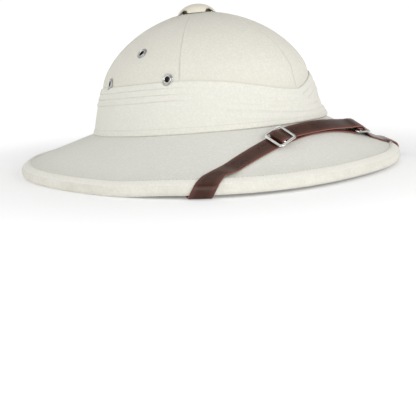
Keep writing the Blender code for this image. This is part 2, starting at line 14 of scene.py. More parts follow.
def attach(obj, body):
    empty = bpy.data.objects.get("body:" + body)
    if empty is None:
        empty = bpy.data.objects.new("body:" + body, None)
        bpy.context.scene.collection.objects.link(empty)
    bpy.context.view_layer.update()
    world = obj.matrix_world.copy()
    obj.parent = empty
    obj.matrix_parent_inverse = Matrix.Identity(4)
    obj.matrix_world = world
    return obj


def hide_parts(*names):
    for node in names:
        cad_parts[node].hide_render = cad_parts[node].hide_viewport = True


bl_info = {
    "name": "Pith Helmet",
    "version": (1, 0, 0),
    "blender": (4, 5, 0),
    "location": "3D View > Sidebar > Pith Helmet",
    "description": "Dresses the solids of a pith helmet with cloth, leather and nickel",
    "category": "Object",
}

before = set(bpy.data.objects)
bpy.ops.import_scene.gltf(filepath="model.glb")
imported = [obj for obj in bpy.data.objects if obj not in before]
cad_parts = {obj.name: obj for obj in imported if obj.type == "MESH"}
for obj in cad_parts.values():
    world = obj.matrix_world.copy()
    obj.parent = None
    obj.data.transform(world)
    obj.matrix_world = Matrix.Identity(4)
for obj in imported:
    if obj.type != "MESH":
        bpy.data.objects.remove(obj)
ROOT = "root"

# Clearance between neighbouring pieces.
GAP = 0.0003

# Shape of the rim and the crown, as in the solids.
RIM_SQUARENESS = 2.3
EDGE_BULGE = 0.0016
FRONT_SPREAD = 0.35
FRONT_END = 0.2
FRONT_LIFT = 0.0026
CROWN_SETBACK = -0.003
CROWN_LEAN = radians(3.6)
FOOT_LENGTH, FOOT_WIDTH, FOOT_HEIGHT = 0.2206, 0.1872, 0.0378
SHOULDER_LENGTH, SHOULDER_WIDTH, SHOULDER_HEIGHT = 0.2014, 0.1654, 0.0788
CROWN_HEIGHT = 0.137
DOME_RISE, DOME_ROUNDNESS = 1.5, 1.89
BUTTON_POST = 0.0084

# Section of the binding, from its stitched edge on the brim, round the rim, to its turned-in hem.
# Columns: distance outwards from the rim's foot, height above it.
BINDING_SECTION = (
    (-0.0064, 0.0122),
    (-0.0026, 0.0103),
    (0.0003, 0.0082),
    (0.0016, 0.0056),
    (0.0015, 0.0022),
    (0.0002, 0.0),
    (-0.0044, 0.0),
    (-0.0050, 0.0055),
)
BOTTOM_INNER = 6

# Finer curve of the folded cloth round the rim, with a crisp fold at its widest part; same columns.
BINDING_CURVE = (
    (-0.0064, 0.0122), (-0.0034, 0.0108), (-0.0006, 0.0090), (0.0007, 0.0079),
    (0.0014, 0.0064), (0.0016, 0.0044), (0.0015, 0.0022), (0.0002, 0.0),
)

# Pugaree.
PUGAREE_TOP = 0.0792
FRONT_DIP, DIP_SPREAD, DIP_TURN = 0.0175, radians(40), radians(-5)
FRONT_TUCK = 0.0025
FAR_SPREAD, FAR_SHARPNESS = radians(27), 1.35
PLEATS, PLEAT_PITCH = 3, 0.0052
OVERLAP_REACH = radians(46)
SOFT_RELIEF, FLARE = 0.0008, 0.0018

# Soft folds of the band's right front. Columns: share of its depth at the V, the same at the side,
# height, width.
SOFT_FOLDS = (
    (0.20, 0.10, 0.45, 0.07),
    (0.40, 0.24, 0.80, 0.06),
    (0.53, 0.33, 0.60, 0.04),
    (0.68, 0.46, 1.00, 0.07),
    (0.86, 0.66, 0.60, 0.08),
)

# Seams between the crown's gores.
GORE_SEAMS = tuple(radians(turn) for turn in (-5, 61, 119, 180, -119, -61))

# Eyelets. Columns: angle from the front, height up the crown.
EYELETS = {
    "top": (radians(90.0), 0.1045),
    "front": (radians(68.2), 0.0814),
    "back": (radians(111.8), 0.0814),
}

# Chin strap and buckles.
STRAP_FRONT, STRAP_BOW = 0.1222, 0.006
WRAP_SLACK, WRAP_LEAN = 0.0004, 0.75
PLAN_SHARE = 0.92
RIM_BOW_SHARE = 0.6
BRIM_STEP, BRIM_RUN_END = 0.015, -0.086
BUCKLE_LENGTH, BUCKLE_WIRE, BUCKLE_CORNER = 0.0175, 0.0015, 0.0018
BAR_OFFSET = 0.002
BUCKLE_RIGHT_X, BUCKLE_LEFT_X = -0.0405, 0.059
LOOP_TAIL, LOOP_CURL = 0.006, 0.0042
LEFT_BUCKLE_TILT = 0.0026

# Lower strap past its loop. Columns: distance from the left buckle's bar, height over the lowest layer.
LOWER_RUN = ((0.006, 0.0002), (0.009, 0.0), (0.02, 0.0))

# Upper strap between the buckles. Columns: distance from the right buckle's bar, layer, height over it.
UPPER_RUN = (
    (0.005, "third", 0.0009),
    (0.0095, "third", 0.0001),
    (0.0148, "third", 0.0),
    (0.026, "third", -0.0009),
    (0.040, "second", 0.0003),
    (0.056, "second", 0.0007),
    (0.072, "second", 0.0016),
)

# Upper strap over the left buckle's loop. Columns: distance from that bar, drop below the loop's top.
OVER_LOOP = ((-0.013, 0.0021), (-0.006, 0.0005), (0.0, 0.0))

# Upper strap past the left buckle's outer bar. Columns: distance, share of the drop to the brim.
AFTER_BAR = ((0.0, 0.0), (0.005, 0.55), (0.011, 1.0), (0.022, 1.0))

# Where the strap's hidden end lies inside the crown. Columns: angle and height of its lower edge.
ANCHOR_ROWS = (
    (radians(80.0), 0.0190),
    (radians(88.0), 0.0270),
    (radians(94.0), 0.0330),
    (radians(99.0), 0.0380),
)
ANCHOR_LEAN, ANCHOR_RISE = radians(4.2), 0.0119

# Rounded section of the leather. Columns: share across from the back edge, share of the thickness.
LEATHER_SECTION = (
    (0.0, 0.28), (0.0, 0.72), (0.02, 0.93), (0.07, 1.0), (0.28, 1.02), (0.5, 1.03), (0.72, 1.02),
    (0.93, 1.0), (0.98, 0.93), (1.0, 0.72), (1.0, 0.28), (0.98, 0.07), (0.93, 0.0), (0.5, 0.0),
    (0.07, 0.0), (0.02, 0.07),
)

# Weaves. Columns: distance between threads, relief.
COVER_WEAVE, BINDING_WEAVE, PUGAREE_WEAVE = (0.0011, 0.00022), (0.0009, 0.00018), (0.0008, 0.00016)

# One stitch. Columns: share of its length, share of the thread's radius, height over the cloth.
STITCH = (
    (-0.5, 0.25, -0.00002), (-0.3, 0.9, 0.00013), (0.0, 1.0, 0.0002), (0.3, 0.9, 0.00013),
    (0.5, 0.25, -0.00002),
)
STITCH_SIDES, THREAD_RADIUS = 6, 0.00028


def length_property(name, description, default):
    return bpy.props.FloatProperty(name=name, description=description, default=default, unit="LENGTH")


def colour_property(name, description, default):
    return bpy.props.FloatVectorProperty(
        name=name, description=description, default=default, subtype="COLOR", size=3, min=0.0, max=1.0
    )


class HelmetSizes(bpy.types.PropertyGroup):
    """Sizes that a user would change"""

    rim_length: length_property("Rim length", "Front to back over the binding", 0.338)
    rim_width: length_property("Rim width", "Side to side over the binding", 0.316)
    brim_wall: length_property("Brim wall", "Thickness of the covered brim", 0.003)
    crown_wall: length_property("Crown wall", "Thickness of the covered crown", 0.003)
    binding_cloth: length_property("Binding cloth", "Thickness of the folded rim binding", 0.001)
    pugaree_wall: length_property("Pugaree wall", "Thickness of the wound band", 0.0022)
    pleat_relief: length_property("Pleat relief", "How far each pleat stands out", 0.0009)
    seam_relief: length_property("Seam relief", "How far the gore seams stand out", 0.0003)
    stitch_length: length_property("Stitch length", "Visible length of each stitch", 0.0019)
    stitch_pitch: length_property("Stitch pitch", "Distance from stitch to stitch", 0.0031)
    button_diameter: length_property("Button diameter", "Width of the vent button", 0.034)
    button_rise: length_property("Button rise", "Height of the vent button", 0.0075)
    eyelet_flange: length_property("Eyelet flange", "Width of each eyelet", 0.0100)
    eyelet_bore: length_property("Eyelet bore", "Width of each vent hole", 0.0048)
    strap_width: length_property("Strap width", "Width of the chin strap", 0.014)
    strap_thickness: length_property("Strap thickness", "Thickness of the leather", 0.0014)


class HelmetColours(bpy.types.PropertyGroup):
    """Colours that a user would change"""

    cover: colour_property("Cover", "Cotton of the crown and brim", (0.81, 0.79, 0.70))
    # The brim is the cover's cloth; its greyer tint is painted light, for the cooler light that falls on it
    # from above.
    brim: colour_property("Brim", "Cotton of the brim, faded greyer", (0.80, 0.795, 0.73))
    pugaree: colour_property("Pugaree", "Cotton of the wound band", (0.845, 0.835, 0.755))
    binding: colour_property("Binding", "Cotton of the rim binding", (0.93, 0.915, 0.83))
    # Grime also gives the cloth's painted shade in seams, creases and shaded sides.
    grime_and_shade: colour_property("Grime", "Handling marks on the cloth", (0.52, 0.49, 0.41))
    thread: colour_property("Thread", "Sewing thread", (0.76, 0.74, 0.66))
    button: colour_property("Button", "Cream paint of the vent button", (0.74, 0.70, 0.585))
    leather: colour_property("Leather", "Polished face of the strap", (0.036, 0.012, 0.006))
    raw_edge: colour_property("Raw edge", "Cut edges of the leather", (0.30, 0.13, 0.105))
    nickel: colour_property("Nickel", "Plated eyelets, buckles and rivets", (0.74, 0.73, 0.71))


# Meshes


def blend(start, end, share):
    return start + (end - start) * share


def smooth_step(value):
    value = np.clip(value, 0.0, 1.0)
    return value * value * (3.0 - 2.0 * value)


def unit(vector):
    return vector / np.linalg.norm(vector, axis=-1, keepdims=True)


def walked(ring):
    """Distance walked along a closed ring to each of its points, and all the way round."""
    steps = np.linalg.norm(np.roll(ring, -1, 0) - ring, axis=1)
    return np.concatenate([[0.0], np.cumsum(steps)])


def put_uv(mesh, points, closed_run):
    """Lays the cloth's threads along the rows and columns of a skin, in metres."""
    rows, columns = points.shape[:2]
    last = rows if closed_run else rows - 1
    round_it, down_it = walked(points[rows // 2]), walked(points[:, 0])
    start = np.meshgrid(round_it[:columns], down_it[:last])
    end = np.meshgrid(round_it[1:], down_it[1 : last + 1])
    corners = ((start[0], start[1]), (end[0], start[1]), (end[0], end[1]), (start[0], end[1]))
    flat = np.zeros(len(mesh.loops) * 2)
    flat[: last * columns * 8] = np.stack([np.stack(corner, -1) for corner in corners], 2).ravel()
    mesh.uv_layers.new(name="threads").data.foreach_set("uv", flat)


def quads(here, after):
    """Faces between neighbouring rings of point numbers."""
    return np.stack([here, np.roll(here, -1, -1), np.roll(after, -1, -1), after], -1).reshape(-1, 4).tolist()


def skin(name, points, closed_run=False, capped=False, marks=None):
    """Mesh over rows of points; each row is a closed ring, and rows run down the outer side."""
    index = np.arange(points.size // 3).reshape(points.shape[:2])
    faces = quads(index, np.roll(index, -1, 0)) if closed_run else quads(index[:-1], index[1:])
    if capped:
        faces += [index[0][::-1].tolist(), index[-1].tolist()]
    mesh = bpy.data.meshes.new(name)
    mesh.from_pydata(points.reshape(-1, 3).tolist(), [], faces)
    put_uv(mesh, points, closed_run)
    for label, values in (marks or {}).items():
        mark = mesh.attributes.new(label, "FLOAT", "POINT")
        mark.data.foreach_set("value", np.broadcast_to(values, index.shape).ravel().astype(np.float32))
    mesh.shade_smooth()
    return mesh


def show(item):
    bpy.context.scene.collection.objects.link(item)
    return item


def add_piece(name, mesh, finish, slot, *nodes):
    """Puts a mesh in the scene as a piece that stands for the named solids."""
    piece = show(bpy.data.objects.new(name, mesh))
    if not mesh.materials:
        mesh.materials.append(finish)
    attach(piece, ROOT)
    if nodes:
        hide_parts(*nodes)
    return piece


def lay_normals(points):
    """Outward normals of a skin's points."""
    round_it = np.roll(points, -1, 1) - np.roll(points, 1, 1)
    down_it = np.gradient(points, axis=0)
    return unit(np.cross(round_it, down_it))


def ripple(turn, height, seed):
    """Slow waves in cloth, between -1 and 1, the same on each run."""
    rng = np.random.default_rng(seed)
    total = np.zeros(np.broadcast(turn, height).shape)
    for _ in range(9):
        waves = rng.integers(2, 15)
        total += np.sin(waves * turn + rng.uniform(20, 90) * height + rng.uniform(0, 2 * pi)) / 9
    return total


def even_turns(count, lines=(), near=()):
    """Angles round the helmet, with extra ones close to some lines."""
    turns = list(np.arange(count) * 2 * pi / count)
    for line in lines:
        turns = [turn for turn in turns if abs((turn - line + pi) % (2 * pi) - pi) > near[-1] * 1.3]
        turns += [(line + side * offset) % (2 * pi) for side in (-1, 1) for offset in near if offset]
        turns.append(line % (2 * pi))
    return np.array(sorted(turns))


def signed_turn(turn):
    return (turn + pi) % (2 * pi) - pi


# Shared shape of the helmet


def oval(turn, half_length, half_width, squareness=2.0):
    """Point of an oval ring seen from above; squareness 2 is an ellipse."""
    power = 2.0 / squareness
    across = -half_width * np.sign(np.sin(turn)) * np.abs(np.sin(turn)) ** power
    along = -half_length * np.sign(np.cos(turn)) * np.abs(np.cos(turn)) ** power
    return across, along


def crown_half_sizes(height):
    rise = np.clip((height - SHOULDER_HEIGHT) / (CROWN_HEIGHT - SHOULDER_HEIGHT), 0.0, 1.0)
    size = (1.0 - rise**DOME_RISE) ** (1.0 / DOME_ROUNDNESS)
    drop = np.clip((SHOULDER_HEIGHT - height) / (SHOULDER_HEIGHT - FOOT_HEIGHT), 0.0, None)
    half_length = (SHOULDER_LENGTH * size + (FOOT_LENGTH - SHOULDER_LENGTH) * drop) / 2
    half_width = (SHOULDER_WIDTH * size + (FOOT_WIDTH - SHOULDER_WIDTH) * drop) / 2
    return half_length, half_width


def crown_point(turn, height, outwards=0.0):
    """Point at the crown's outer face in the crown's frame, or outside it in plan."""
    half_length, half_width = crown_half_sizes(height)
    across, along = oval(turn, half_length + outwards, half_width + outwards)
    across, along, height = np.broadcast_arrays(across, along, height)
    return np.stack([across, along, height], -1)


def lean(points):
    """Crown's frame to the helmet's: leans back and sits a little forward."""
    across, along, height = points[..., 0], points[..., 1], points[..., 2]
    back = cos(CROWN_LEAN) * along + sin(CROWN_LEAN) * height + CROWN_SETBACK
    up = cos(CROWN_LEAN) * height - sin(CROWN_LEAN) * along
    return np.stack([across, back, up], -1)


def front_lift(turn):
    return FRONT_LIFT * smooth_step((np.cos(turn) - FRONT_END) / FRONT_SPREAD)


def rim_point(sizes, turn, out, up):
    half_length = sizes.rim_length / 2 - EDGE_BULGE + out
    half_width = sizes.rim_width / 2 - EDGE_BULGE + out
    across, along = oval(turn, half_length, half_width, RIM_SQUARENESS)
    height = up + front_lift(turn)
    across, along, height = np.broadcast_arrays(across, along, height)
    return np.stack([across, along, height], -1)


def offset_section(section, distance):
    """Section moved along its outward normals, with mitred corners."""
    section = np.array(section)
    run = np.diff(section, axis=0)
    normals = unit(np.stack([-run[:, 1], run[:, 0]], -1))
    before = np.concatenate([normals[:1], normals])
    after = np.concatenate([normals, normals[-1:]])
    mitre = unit(before + after)
    return section + mitre * (distance / (mitre * after).sum(-1))[:, None]


def curve_through(points, steps):
    """Smooth curve through points, of any dimension, with the given steps between each pair."""
    points = np.asarray(points, float)
    before = np.concatenate([2 * points[:1] - points[1:2], points[:-1]])
    after = np.concatenate([points[1:], 2 * points[-1:] - points[-2:-1]])
    shape = (len(points),) + (1,) * (points.ndim - 1)
    reach_before = np.linalg.norm((points - before).reshape(len(points), -1), axis=1).reshape(shape)
    reach_after = np.linalg.norm((after - points).reshape(len(points), -1), axis=1).reshape(shape)
    slope = ((points - before) / reach_before + (after - points) / reach_after) / 2
    made = []
    for i in range(len(points) - 1):
        length = reach_after[i]
        for step in range(steps):
            t = step / steps
            made.append(
                (2 * t**3 - 3 * t**2 + 1) * points[i]
                + (t**3 - 2 * t**2 + t) * slope[i] * length
                + (3 * t**2 - 2 * t**3) * points[i + 1]
                + (t**3 - t**2) * slope[i + 1] * length
            )
    made.append(points[-1])
    return np.array(made)


def brim_foot(turn, drop=0.0):
    return lean(crown_point(turn, np.full(np.shape(turn), FOOT_HEIGHT - drop), GAP))


def brim_top(sizes, turn, share):
    edge = offset_section(BINDING_SECTION, -(sizes.binding_cloth + GAP))[0]
    return blend(brim_foot(turn), rim_point(sizes, turn, *edge), share)


# Finishes


class Value:
    """A shader socket that can stand in a Python expression."""

    def __init__(self, tree, socket):
        self.tree, self.socket = tree, socket

    def maths(self, operation, first, second=None, clamp=False):
        sockets = {0: first} if second is None else {0: first, 1: second}
        return Nodes(self.tree).node("ShaderNodeMath", {"operation": operation, "use_clamp": clamp}, sockets)

    def __add__(self, other):
        return self.maths("ADD", self, other)

    __radd__ = __add__

    def __mul__(self, other):
        return self.maths("MULTIPLY", self, other)

    __rmul__ = __mul__

    def __sub__(self, other):
        return self.maths("SUBTRACT", self, other)

    def __rsub__(self, other):
        return self.maths("SUBTRACT", other, self)

    def wave(self):
        return self.maths("SINE", self)

    def capped(self):
        return self.maths("MULTIPLY", self, 1.0, clamp=True)


def plug(tree, socket, value):
    if isinstance(value, Value):
        tree.links.new(value.socket, socket)
    else:
        socket.default_value = value


class Nodes:
    """The nodes of a material or of the room light."""

    def __init__(self, tree):
        self.tree = tree

    def node(self, kind, settings=None, sockets=None, output=0):
        """Adds a node: its settings come first, then the values or links of its sockets."""
        made = self.tree.nodes.new(kind)
        for key, value in (settings or {}).items():
            if key == "stops":
                ramp = made.color_ramp.elements
                for stop, (position, light) in zip((ramp[0], ramp[1]), (value[0], value[-1])):
                    stop.position, stop.color = position, (light, light, light, 1.0)
                for position, light in value[1:-1]:
                    ramp.new(position).color = (light, light, light, 1.0)
            else:
                setattr(made, key, value)
        for key, value in (sockets or {}).items():
            plug(self.tree, made.inputs[key], value)
        return Value(self.tree, made.outputs[output])

    def grey_ramp(self, value, stops):
        """Grey light that follows a value. Stops: value, brightness."""
        return self.node("ShaderNodeValToRGB", {"stops": stops}, {0: value})


class Finish(Nodes):
    """A material and the nodes that feed it."""

    def __init__(self, name, **fixed):
        self.material = bpy.data.materials.new(name)
        self.material.use_nodes = True
        super().__init__(self.material.node_tree)
        for socket, value in fixed.items():
            self.feed(socket.replace("_", " ").title(), value)

    def feed(self, socket, value):
        plug(self.tree, self.tree.nodes["Principled BSDF"].inputs[socket], value)

    def place(self):
        return self.node("ShaderNodeTexCoord", output="Object")

    def noise(self, scale, detail=2.0, roughness=0.5):
        sockets = {"Vector": self.place(), "Scale": scale, "Detail": detail, "Roughness": roughness}
        return self.node("ShaderNodeTexNoise", None, sockets, "Fac")

    def range(self, value, low, high, to_low=0.0):
        sockets = {"Value": value, "From Min": low, "From Max": high, "To Min": to_low, "To Max": 1.0}
        return self.node("ShaderNodeMapRange", {"clamp": True}, sockets)

    def patches(self, scale, detail, roughness, low, high, to_low=0.0):
        """Noise stretched so that it is to_low below low, and 1 above high."""
        return self.range(self.noise(scale, detail, roughness), low, high, to_low)

    def mark(self, name):
        """A value stored on the mesh's points."""
        return self.node("ShaderNodeAttribute", {"attribute_name": name}, None, "Fac")

    def mix(self, factor, first, second):
        """Colour mix; a plain colour is a tuple of three."""
        first, second = (side if isinstance(side, Value) else (*side, 1.0) for side in (first, second))
        return self.node("ShaderNodeMix", {"data_type": "RGBA"}, {0: factor, 6: first, 7: second}, 2)

    def bump(self, height, distance, strength):
        sockets = {"Height": height, "Distance": distance, "Strength": strength}
        self.feed("Normal", self.node("ShaderNodeBump", None, sockets, "Normal"))


def darker(colour, share):
    return tuple(part * share for part in colour)


def cotton(name, colour, grime_and_shade, thread, depth):
    """Matte cotton with a plain weave, slubs, faint blotches, handled places, and painted shade in its seam
    ditches, fold lines and shaded sides.
    """
    finish = Finish(name, roughness=0.88, sheen_weight=0.12, sheen_roughness=0.5)
    threads = finish.node("ShaderNodeUVMap", {"uv_map": "threads"})
    weft, warp = (finish.node("ShaderNodeSeparateXYZ", None, {0: threads}, side) for side in (0, 1))
    weave = (weft * (2 * pi / thread)).wave() * (warp * (2 * pi / thread)).wave()
    base = finish.mix(finish.patches(22.0, 3.0, 0.55, 0.42, 0.68) * 0.35, colour, darker(colour, 0.94))
    base = finish.mix(finish.patches(850.0, 2.0, 0.7, 0.3, 0.72), base, darker(colour, 0.85))
    base = finish.mix(finish.patches(430.0, 2.0, 0.6, 0.36, 0.66) * 0.7, base, darker(colour, 0.86))
    # The wear mark darkens towards the grime colour: handling marks, and painted shade on the binding's
    # outer side and at the brim's foot.
    patchy = finish.mark("worn") * finish.patches(60.0, 4.0, 0.6, 0.3, 0.7, 0.35)
    base = finish.mix((patchy * 0.3).capped(), base, grime_and_shade)
    # Painted shade: the line mark darkens seam ditches, pleat lines, the binding's stitched edge and the
    # band's hem.
    base = finish.mix((finish.mark("line") * 0.75).capped(), base, darker(grime_and_shade, 0.8))
    finish.feed("Base Color", base)
    slubs, grain = finish.noise(420.0, 3.0, 0.6), finish.noise(1500.0, 2.0, 0.6)
    finish.bump(weave * 0.3 + slubs * 0.7 + grain * 0.6, depth * 1.6, 0.8)
    return finish.material


def polished_leather(name, colour, raw_edge):
    """Glossy dark leather with fine grain, rubbed ridges and raw cut edges."""
    finish = Finish(name, coat_roughness=0.1)
    finish.feed("Specular IOR Level", 0.22)
    grain = finish.node(
        "ShaderNodeTexVoronoi", {"feature": "SMOOTH_F1"},
        {"Vector": finish.place(), "Scale": 1300.0, "Smoothness": 0.6},
    )
    cloud = finish.noise(55.0, 3.0, 0.6)
    scuffs = finish.patches(260.0, 4.0, 0.65, 0.58, 0.76)
    edge, rubbed = finish.mark("edge"), finish.mark("rubbed")
    base = finish.mix(finish.range(cloud, 0.35, 0.7), colour, darker(colour, 1.7))
    base = finish.mix((rubbed * 0.4 + scuffs * 0.1 - 0.03).capped(), base, darker(raw_edge, 0.7))
    finish.feed("Base Color", finish.mix(edge, base, raw_edge))
    finish.feed("Roughness", (0.24 + scuffs * 0.14 + edge * 0.5 + cloud * 0.08).capped())
    finish.feed("Coat Weight", (0.12 - edge * 0.12).capped())
    finish.bump(grain * 0.6 + cloud * 0.4, 0.00012, 0.5)
    return finish.material


def nickel_plate(colour):
    """Bright plate with fine scratches, duller patches and near-black painted shade in the eyelets' hollows,
    made once for all the pieces that have it.
    """
    made = bpy.data.materials.get("nickel_plate")
    if made:
        return made
    finish = Finish("nickel_plate", metallic=1.0)
    cloud = finish.noise(500.0, 3.0, 0.6)
    dull = finish.patches(180.0, 3.0, 0.6, 0.45, 0.7)
    tarnish = finish.mark("tarnish")
    base = finish.mix(dull * 0.5, colour, darker(colour, 0.72))
    # The mark paints near-black shade into the eyelets' hollows.
    finish.feed("Base Color", finish.mix(tarnish * 0.85, base, darker(colour, 0.06)))
    finish.feed("Roughness", (0.13 + dull * 0.14 + cloud * 0.06 + tarnish * 0.2).capped())
    finish.bump(cloud, 0.00003, 0.4)
    return finish.material


def cream_paint(name, colour):
    """Brushed cream paint, a little yellowed, with wear; painted shade in dark brown inside the button."""
    finish = Finish(name, coat_weight=0.25, coat_roughness=0.3)
    cloud = finish.noise(90.0, 3.0, 0.6)
    base = finish.mix(finish.range(cloud, 0.4, 0.7) * 0.5, colour, darker(colour, 0.86))
    base = finish.mix(finish.patches(700.0, 3.0, 0.6, 0.62, 0.75) * 0.25, base, darker(colour, 0.6))
    # Painted shade: the marked inside of the button is dark brown.
    finish.feed("Base Color", finish.mix(finish.mark("inner") * 0.9, base, (0.10, 0.07, 0.045)))
    finish.feed("Roughness", (0.34 + cloud * 0.15).capped())
    finish.bump(cloud, 0.0002, 0.35)
    return finish.material


# Crown


def seam_relief(turn, size):
    """Raised strip along each gore seam, its ditch on one side, and a mark that paints shade into the ditch.
    """
    relief, ditch = np.zeros(np.shape(turn)), np.zeros(np.shape(turn))
    for seam in GORE_SEAMS:
        away = signed_turn(turn - seam) * SHOULDER_WIDTH / 2
        cut = np.exp(-(((away - 0.0013) / 0.00055) ** 2))
        relief += np.exp(-((away / 0.0011) ** 4)) - 0.7 * cut
        ditch += cut
    return relief * size, np.clip(ditch, 0.0, 1.0)


def make_crown(sizes, colours):
    near = tuple(mm / 1000 / (SHOULDER_WIDTH / 2) for mm in (0.0, 0.45, 0.9, 1.3, 1.7, 2.3, 3.2))
    turns = even_turns(200, GORE_SEAMS, near)
    vent = (BUTTON_POST / 2 + 3 * GAP) / (SHOULDER_WIDTH / 2)
    climb = np.linspace(1.0, 0.0, 56) * acos(vent ** (DOME_ROUNDNESS / 2))
    size = np.cos(climb)[:, None] ** (2.0 / DOME_ROUNDNESS)
    height = blend(SHOULDER_HEIGHT, CROWN_HEIGHT, np.sin(climb) ** (2.0 / DOME_RISE))
    across, along = oval(turns[None], SHOULDER_LENGTH / 2 * size, SHOULDER_WIDTH / 2 * size)
    dome = np.stack([across, along, np.broadcast_to(height[:, None], across.shape)], -1)
    lower = np.linspace(SHOULDER_HEIGHT, FOOT_HEIGHT - sizes.brim_wall - GAP, 16)[1:]
    outer = np.concatenate([dome, crown_point(turns[None], lower[:, None])])
    heights = np.concatenate([height, lower])[:, None]
    over_band = heights - pugaree_top(turns)[None]
    shown = smooth_step((over_band - 0.004) / 0.006 + 1.0) * smooth_step((CROWN_HEIGHT - heights) / 0.003)
    relief, ditch = seam_relief(turns, sizes.seam_relief)
    waves = ripple(turns[None], heights, 3) * 0.00045
    normals = lay_normals(outer)
    outer = outer + normals * ((relief[None] + waves) * shown)[..., None]
    inner = outer - normals * sizes.crown_wall
    # Darker just above the band's top edge and towards the top of the crown; the inside darker all over.
    worn = np.clip(1.0 - over_band / 0.012, 0.0, 1.0) * 0.35 + 0.35 * smooth_step((heights - 0.118) / 0.02)
    # The line mark paints shade into the seam ditches.
    marks = {
        "worn": np.concatenate([worn, np.full(worn.shape, 0.6)]),
        "line": np.concatenate([ditch[None] * shown * 0.5, np.zeros(shown.shape)]),
    }
    mesh = skin("crown_cover", lean(np.concatenate([outer, inner[::-1]])), closed_run=True, marks=marks)
    finish = cotton("cover_cotton", colours.cover, colours.grime_and_shade, *COVER_WEAVE)
    crown = add_piece("crown_cover", mesh, finish, "cover_cloth", "crown")
    cut_eyelet_holes(crown, EYELETS, 0.0034, 0.02)


def crown_place(turn, height):
    """Matrix that puts +Z along the crown's normal at a point."""

    def spot(turn_step, height_step):
        return crown_point(np.array(turn + turn_step * 1e-4), np.array(height + height_step * 1e-4))

    normal = unit(np.cross(spot(0, 1) - spot(0, -1), spot(1, 0) - spot(-1, 0)))
    middle = lean(spot(0, 0))
    axis = Vector((lean(spot(0, 0) + normal) - middle).tolist())
    return Matrix.Translation(middle.tolist()) @ axis.to_track_quat("Z", "Y").to_matrix().to_4x4()


def cut_eyelet_holes(piece, names, radius, length, sides=28):
    """Cuts a round hole through a piece at the named eyelets of both sides."""
    turns = -np.arange(sides) * 2 * pi / sides
    across, along = radius * np.cos(turns), radius * np.sin(turns)
    rows = [np.stack([across, along, np.full(sides, level)], -1) for level in (length / 2, -length / 2)]
    for sign in (1, -1):
        for name in names:
            angle, height = EYELETS[name]
            hole = skin("hole", np.array(rows), capped=True)
            hole.transform(crown_place(sign * angle, height))
            cut_with(piece, hole)


def cut_with(piece, mesh):
    """Takes a closed mesh out of a piece."""
    cutter = show(bpy.data.objects.new("cutter", mesh))
    modifier = piece.modifiers.new("cut", "BOOLEAN")
    modifier.object = cutter
    modifier.solver = "EXACT"
    graph = bpy.context.evaluated_depsgraph_get()
    made = bpy.data.meshes.new_from_object(piece.evaluated_get(graph), depsgraph=graph)
    piece.modifiers.clear()
    piece.data = made
    bpy.data.objects.remove(cutter, do_unlink=True)


# Brim and binding


def make_brim(sizes, colours):
    turns = even_turns(240)
    shares = np.linspace(0.0, 1.0, 30)[:-1]
    lip_outer = offset_section(BINDING_SECTION, -(sizes.binding_cloth + GAP))[:5]
    lip_inner = offset_section(BINDING_SECTION, -(sizes.binding_cloth + GAP + sizes.brim_wall))[:5]
    top = np.array([brim_top(sizes, turns, share) for share in shares])
    lip, back = (
        np.array([rim_point(sizes, turns, *row) for row in curve_through(line, 3)])
        for line in (lip_outer, lip_inner[::-1])
    )
    drop = np.array([0.0, 0.0, sizes.brim_wall + GAP])
    under = np.array([brim_top(sizes, turns, share) - drop for share in shares[1:][::-2]])
    foot = brim_foot(turns, sizes.brim_wall)[None]
    share = shares[:, None]
    inset = smooth_step(share / 0.12) * smooth_step((1.0 - share) / 0.1)
    top = top + lay_normals(top) * (ripple(turns[None], share * 0.06, 11) * 0.0005 * inset)[..., None]
    points = np.concatenate([top, lip, back, under, foot])
    worn = np.zeros(points.shape[:2])
    # Darker at the rim's edge from handling, and painted shade in the corner at the brim's foot under the
    # band; the underside darker all over.
    worn[: len(top)] = 0.55 * smooth_step((share - 0.72) / 0.28) + 0.8 * (1 - smooth_step(share / 0.06))
    worn[len(top) + len(lip) :] = 0.5
    mesh = skin("brim_cover", points, closed_run=True, marks={"worn": worn, "line": 0.0})
    # The greyer brim colour is painted light, for the cooler light from above.
    finish = cotton("brim_cotton", colours.brim, colours.grime_and_shade, *COVER_WEAVE)
    add_piece("brim_cover", mesh, finish, "cover_cloth", "brim")


# Rows of the binding above its flat underside.
FREE_ROWS = 27


def binding_rows():
    """The binding's section as a smooth strip that keeps the flat underside."""
    return np.concatenate([curve_through(BINDING_CURVE, 4), np.array(BINDING_SECTION)[BOTTOM_INNER:]])


def make_binding(sizes, colours):
    turns = even_turns(360)
    rows = binding_rows()
    outer, inner = (
        np.array([rim_point(sizes, turns, *row) for row in section])
        for section in (rows, offset_section(rows, -sizes.binding_cloth))
    )
    row = np.arange(len(rows))[:, None]
    pucker = 0.5 + 0.5 * np.sin(turns * 167)[None]
    near_stitch = np.exp(-(((row - 3.0) / 2.0) ** 2))
    push = -0.00028 * near_stitch * pucker + ripple(turns[None], near_stitch * 0.01, 21) * 0.0002
    normals = lay_normals(outer)
    outer = outer + normals * (push * (row < FREE_ROWS))[..., None]
    drop = sizes.binding_cloth + GAP
    outer[0] -= normals[0] * (drop - 0.0002)
    outer[1] -= normals[1] * drop * 0.3
    inner[0] -= normals[0] * GAP * 0.6
    worn, line = np.zeros((2, 2 * len(rows), len(turns)))
    # Painted shade: darker from the fold at the rim's widest part round its outer side and underside, and a
    # little in the puckered dips by the stitches.
    worn[: len(rows)] = 0.05 + 1.3 * smooth_step((row / FREE_ROWS - 0.38) / 0.12) + 0.1 * pucker
    # Painted shade along the binding's stitched edge on the brim.
    line[[0, -1]] = 0.25
    points = np.concatenate([outer, inner[::-1]])
    mesh = skin("binding_strip", points, closed_run=True, marks={"worn": worn, "line": line})
    finish = cotton("binding_cotton", colours.binding, colours.grime_and_shade, *BINDING_WEAVE)
    add_piece("binding_strip", mesh, finish, "binding_cloth", "rim_binding")


